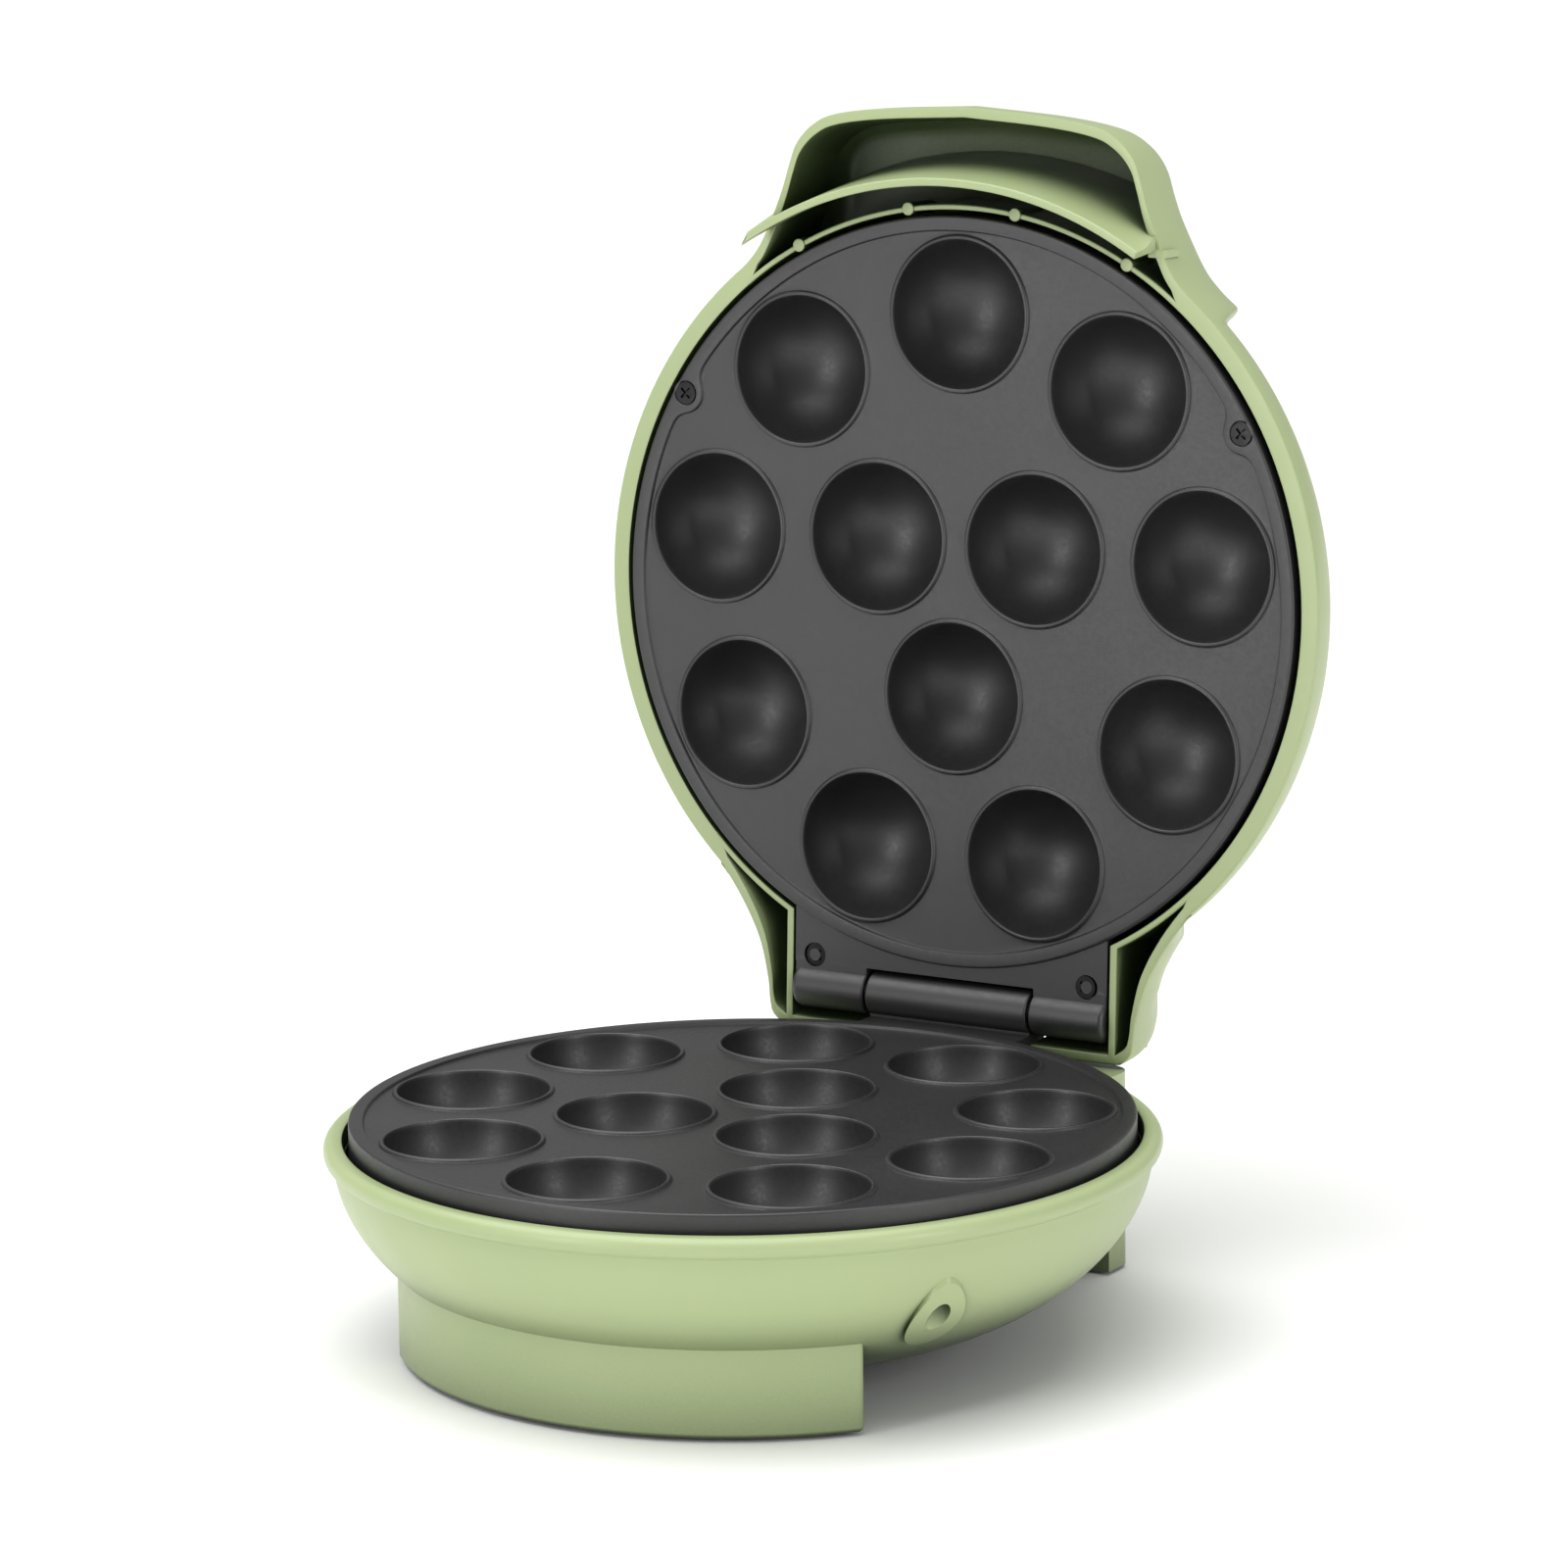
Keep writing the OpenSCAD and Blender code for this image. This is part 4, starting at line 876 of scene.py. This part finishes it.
def make_lid():
    n = 720
    angles = np.linspace(0, 2 * math.pi, n, endpoint=False)
    rho = outline_radius(angles)
    width, lean = lid_wall(angles)
    c, s = np.cos(angles), np.sin(angles)

    def row(bm, radius, z):
        z = np.broadcast_to(z, radius.shape)
        return ring(bm, list(zip(radius * c, radius * s, z)))

    def over(radius):
        return lid_height(radius * c, radius * s)

    bm = bmesh.new()
    steps = (np.arange(1, 72) / 72) ** 1.8
    rows = [row(bm, rho * (1 - t), over(rho * (1 - t))) for t in steps[::-1]]
    rows += [row(bm, rho, LID_RIM_Z + 0.6), row(bm, rho - 0.18, LID_RIM_Z + 0.18),
             row(bm, rho - 0.6, LID_RIM_Z)]
    inner = rho - width
    rows += [row(bm, inner + 0.5, LID_RIM_Z), row(bm, inner + 0.14, LID_RIM_Z + 0.14),
             row(bm, inner, LID_RIM_Z + 0.5)]
    ceiling = over(inner - lean) - WALL
    for t in np.linspace(0.15, 1, 7):
        rows.append(row(bm, inner - lean * t, LID_RIM_Z + 0.5 + (ceiling - LID_RIM_Z - 0.5) * t))
    for t in steps[6::2]:
        radius = (inner - lean) * (1 - t)
        rows.append(row(bm, radius, over(radius) - WALL))
    for a, b in zip(rows, rows[1:]):
        band(bm, a, b)
    for last, lift in ((rows[0], 0), (rows[-1], -WALL)):
        pole = bm.verts.new((0, 0, LID_TOP_Z + lift))
        for i in range(n):
            bm.faces.new((pole, last[i], last[(i + 1) % n]))
    lid = solid("lid_shell", bm)
    for wall in lid_walls():
        combine(lid, wall, "UNION")
    # room for the lower leaf, the lenses and the screws
    bm = bmesh.new()
    pole_cylinder(bm, 14, 0.3 - SIDE_BARREL_X, SIDE_BARREL_X - 0.3, 0.05, 96)
    bm.transform(Matrix.Translation((0, HINGE_Y, HINGE_Z)) @ Matrix.Rotation(math.pi / 2, 4, "Y"))
    combine(lid, solid("leaf_room", bm), "DIFFERENCE")
    bm = bmesh.new()
    for s_x in (-9, 9):
        pole_cylinder(bm, 4.15, LID_TOP_Z - 6, LID_TOP_Z + 3, 0.1, 64, (s_x, -8))
    for at in ear_centres():
        pole_cylinder(bm, SCREW_R, 0, 20, 0.1, 32, at)
    combine(lid, solid("holes", bm), "DIFFERENCE")
    finish_piece(lid, ON_LID, "lid", green, ["lid_housing"])


def even(half):
    """Ends for a wall that reaches half degrees to each side at every radius."""
    return lambda r: (half, half)


def curved_wall(name, ends, r_low, r_high, thick, z_low, n=90, axis=-90):
    """An upright wall on an arc that leans from r_low at z_low to r_high inside the lid's skin.

    ends(r) gives the degrees that it reaches to the left and right of its axis at radius r.
    """
    bm = bmesh.new()
    rows = []
    heights, top_drop = 8, 1.5
    for k in range(heights + 1):
        t = k / heights
        for face in (0, 1):
            r = r_low + (r_high - r_low) * t + (thick if face else 0)
            left, right = ends(r)
            a = np.radians(np.linspace(axis - left, axis + right, n))
            x, y = r * np.cos(a), r * np.sin(a)
            z = z_low + (lid_height(x, y) - top_drop - z_low) * t
            rows.append(list(zip(x, y, z)))
    inner = [ring(bm, row) for row in rows[0::2]]
    outer = [ring(bm, row) for row in rows[1::2]]
    for a, b in zip(inner, inner[1:]):
        band(bm, a, b, False)
    for a, b in zip(outer, outer[1:]):
        band(bm, a, b, False)
    band(bm, inner[0], outer[0], False)
    band(bm, inner[-1], outer[-1], False)
    for i in (0, -1):
        for k in range(heights):
            bm.faces.new((inner[k][i], inner[k + 1][i], outer[k + 1][i], outer[k][i]))
    bmesh.ops.recalc_face_normals(bm, faces=bm.faces)
    low_edges = [e for e in bm.edges if all(abs(v.co.z - z_low) < 1e-6 for v in e.verts)
                 and len(e.link_faces) == 2 and e.calc_face_angle(0) > 0.7]
    bmesh.ops.bevel(bm, geom=low_edges, offset=0.5, segments=3, profile=0.5, affect="EDGES")
    return solid(name, bm)


def lid_walls():
    """The thin ring round the plate, the finger guard, the pegs and the neck's ribs."""
    probe = np.radians(np.linspace(20, 45, 400))
    edge = outline_radius(-math.pi / 2 + probe)

    def guard_end(r):
        """The left end follows the handle's side wall; the right one stops short of it."""
        wall = math.degrees(float(np.interp(-(r + 0.4), -edge, probe)))
        return wall, min(wall, GUARD_RIGHT)

    ring_in = RING_R - 0.05
    walls = [curved_wall("thin_ring", even(39.5), ring_in, RING_R, 1.5, LID_RIM_Z)]
    for axis in (90 - 37.2, 90 + 37.2):
        walls.append(curved_wall("tab_ring", even(8.8), ring_in, RING_R, 1.6, LID_RIM_Z, 40, axis))
    walls.append(bevelled_box("guard_return", 53.5, 58.6, -91.2, -89.2, LID_RIM_Z, 9, width=0.3))
    walls.append(curved_wall("guard", guard_end, RIM_R + 1.7, RIM_R + 7.0, 2.1,
                             LID_RIM_Z - 10.5, 120))
    bm = bmesh.new()
    for a in (-28.7, -9, 9, 28.7):
        t = math.radians(a)
        at = ((RING_R + 0.8) * math.sin(t), -(RING_R + 0.8) * math.cos(t))
        pole_cylinder(bm, 1.75, LID_RIM_Z - 0.35, LID_RIM_Z + 12, 0.35, 32, at)
    walls.append(solid("pegs", bm))
    for s in (-1, 1):
        x0, x1 = sorted((s * (TAB_HALF + 0.7), s * (TAB_HALF + 2.7)))
        walls.append(bevelled_box("rib", x0, x1, 86.5, HINGE_Y + 9, LID_RIM_Z, 20, width=0.35))
    return walls


make_lower_plate()
make_upper_plate()
make_base()
make_pads()
make_lid()


# ---- stage, lights and camera ----
def make_stage():
    m = Nodes("pale_floor")
    m.set(Roughness=0.9, Specular_IOR_Level=0.1)
    m.colour(m.ramp(m.noise(3, 2), (0.93, 0.93, 0.93), (0.95, 0.95, 0.95)))
    bm = bmesh.new()
    bmesh.ops.create_grid(bm, x_segments=2, y_segments=2, size=6.0)
    floor = solid("floor", bm)
    floor.data.materials.append(m.material)
    world = bpy.data.worlds.new("studio")
    world.use_nodes = True
    tree = world.node_tree
    # white to the camera, dimmer as a light
    path = tree.nodes.new("ShaderNodeLightPath")
    strength = tree.nodes.new("ShaderNodeMapRange")
    strength.inputs["To Min"].default_value = 0.38
    strength.inputs["To Max"].default_value = 1.0
    tree.links.new(path.outputs["Is Camera Ray"], strength.inputs["Value"])
    tree.links.new(strength.outputs["Result"], tree.nodes["Background"].inputs["Strength"])
    tree.nodes["Background"].inputs["Color"].default_value = (1, 1, 1, 1)
    bpy.context.scene.world = world


def hang_light(light):
    obj = bpy.data.objects.new(light.name, light)
    bpy.context.scene.collection.objects.link(obj)
    return obj


def softbox(name, at, target, size, watts):
    light = bpy.data.lights.new(name, "AREA")
    light.shape = "RECTANGLE"
    light.size, light.size_y = size
    light.energy = watts
    obj = hang_light(light)
    obj.location = at
    obj.rotation_euler = (Vector(target) - Vector(at)).to_track_quat("-Z", "Y").to_euler()


def make_lights():
    middle = (0.0, 0.0, 0.12)
    softbox("left_box", (-0.55, -1.75, 0.55), middle, (0.36, 1.1), 9)
    softbox("right_box", (1.78, -0.38, 0.55), middle, (0.32, 1.1), 8)
    softbox("top_box", (-0.4, -0.2, 1.7), middle, (1.5, 1.5), 7)
    sky = bpy.data.lights.new("overhead", "SUN")
    sky.energy = 2.3
    sky.angle = math.radians(75)
    hang_light(sky).rotation_euler = (math.radians(6), math.radians(-9), 0)


def make_camera():
    """The camera that was fitted to the circles of the photograph's cavities and rims."""
    azimuth, elevation, roll = (math.radians(v) for v in (30.73, 11.6, -0.7))
    target = Vector((0.0462, CENTRE_Y - 0.0559, FACE_Z + 0.0966))
    distance = 1.5628
    level = math.cos(elevation)
    back = Vector((math.sin(azimuth) * level, -math.cos(azimuth) * level, math.sin(elevation)))
    right = Vector((math.cos(azimuth), math.sin(azimuth), 0))
    up = back.cross(right)
    x = right * math.cos(roll) + up * math.sin(roll)
    y = up * math.cos(roll) - right * math.sin(roll)
    data = bpy.data.cameras.new("camera")
    data.lens = 154.17
    data.sensor_width = 36
    camera = bpy.data.objects.new("camera", data)
    camera.matrix_world = Matrix((x, y, back)).transposed().to_4x4()
    camera.matrix_world.translation = target + back * distance
    bpy.context.scene.collection.objects.link(camera)
    bpy.context.scene.camera = camera


make_stage()
make_lights()
make_camera()
bpy.context.scene.view_settings.view_transform = "Standard"
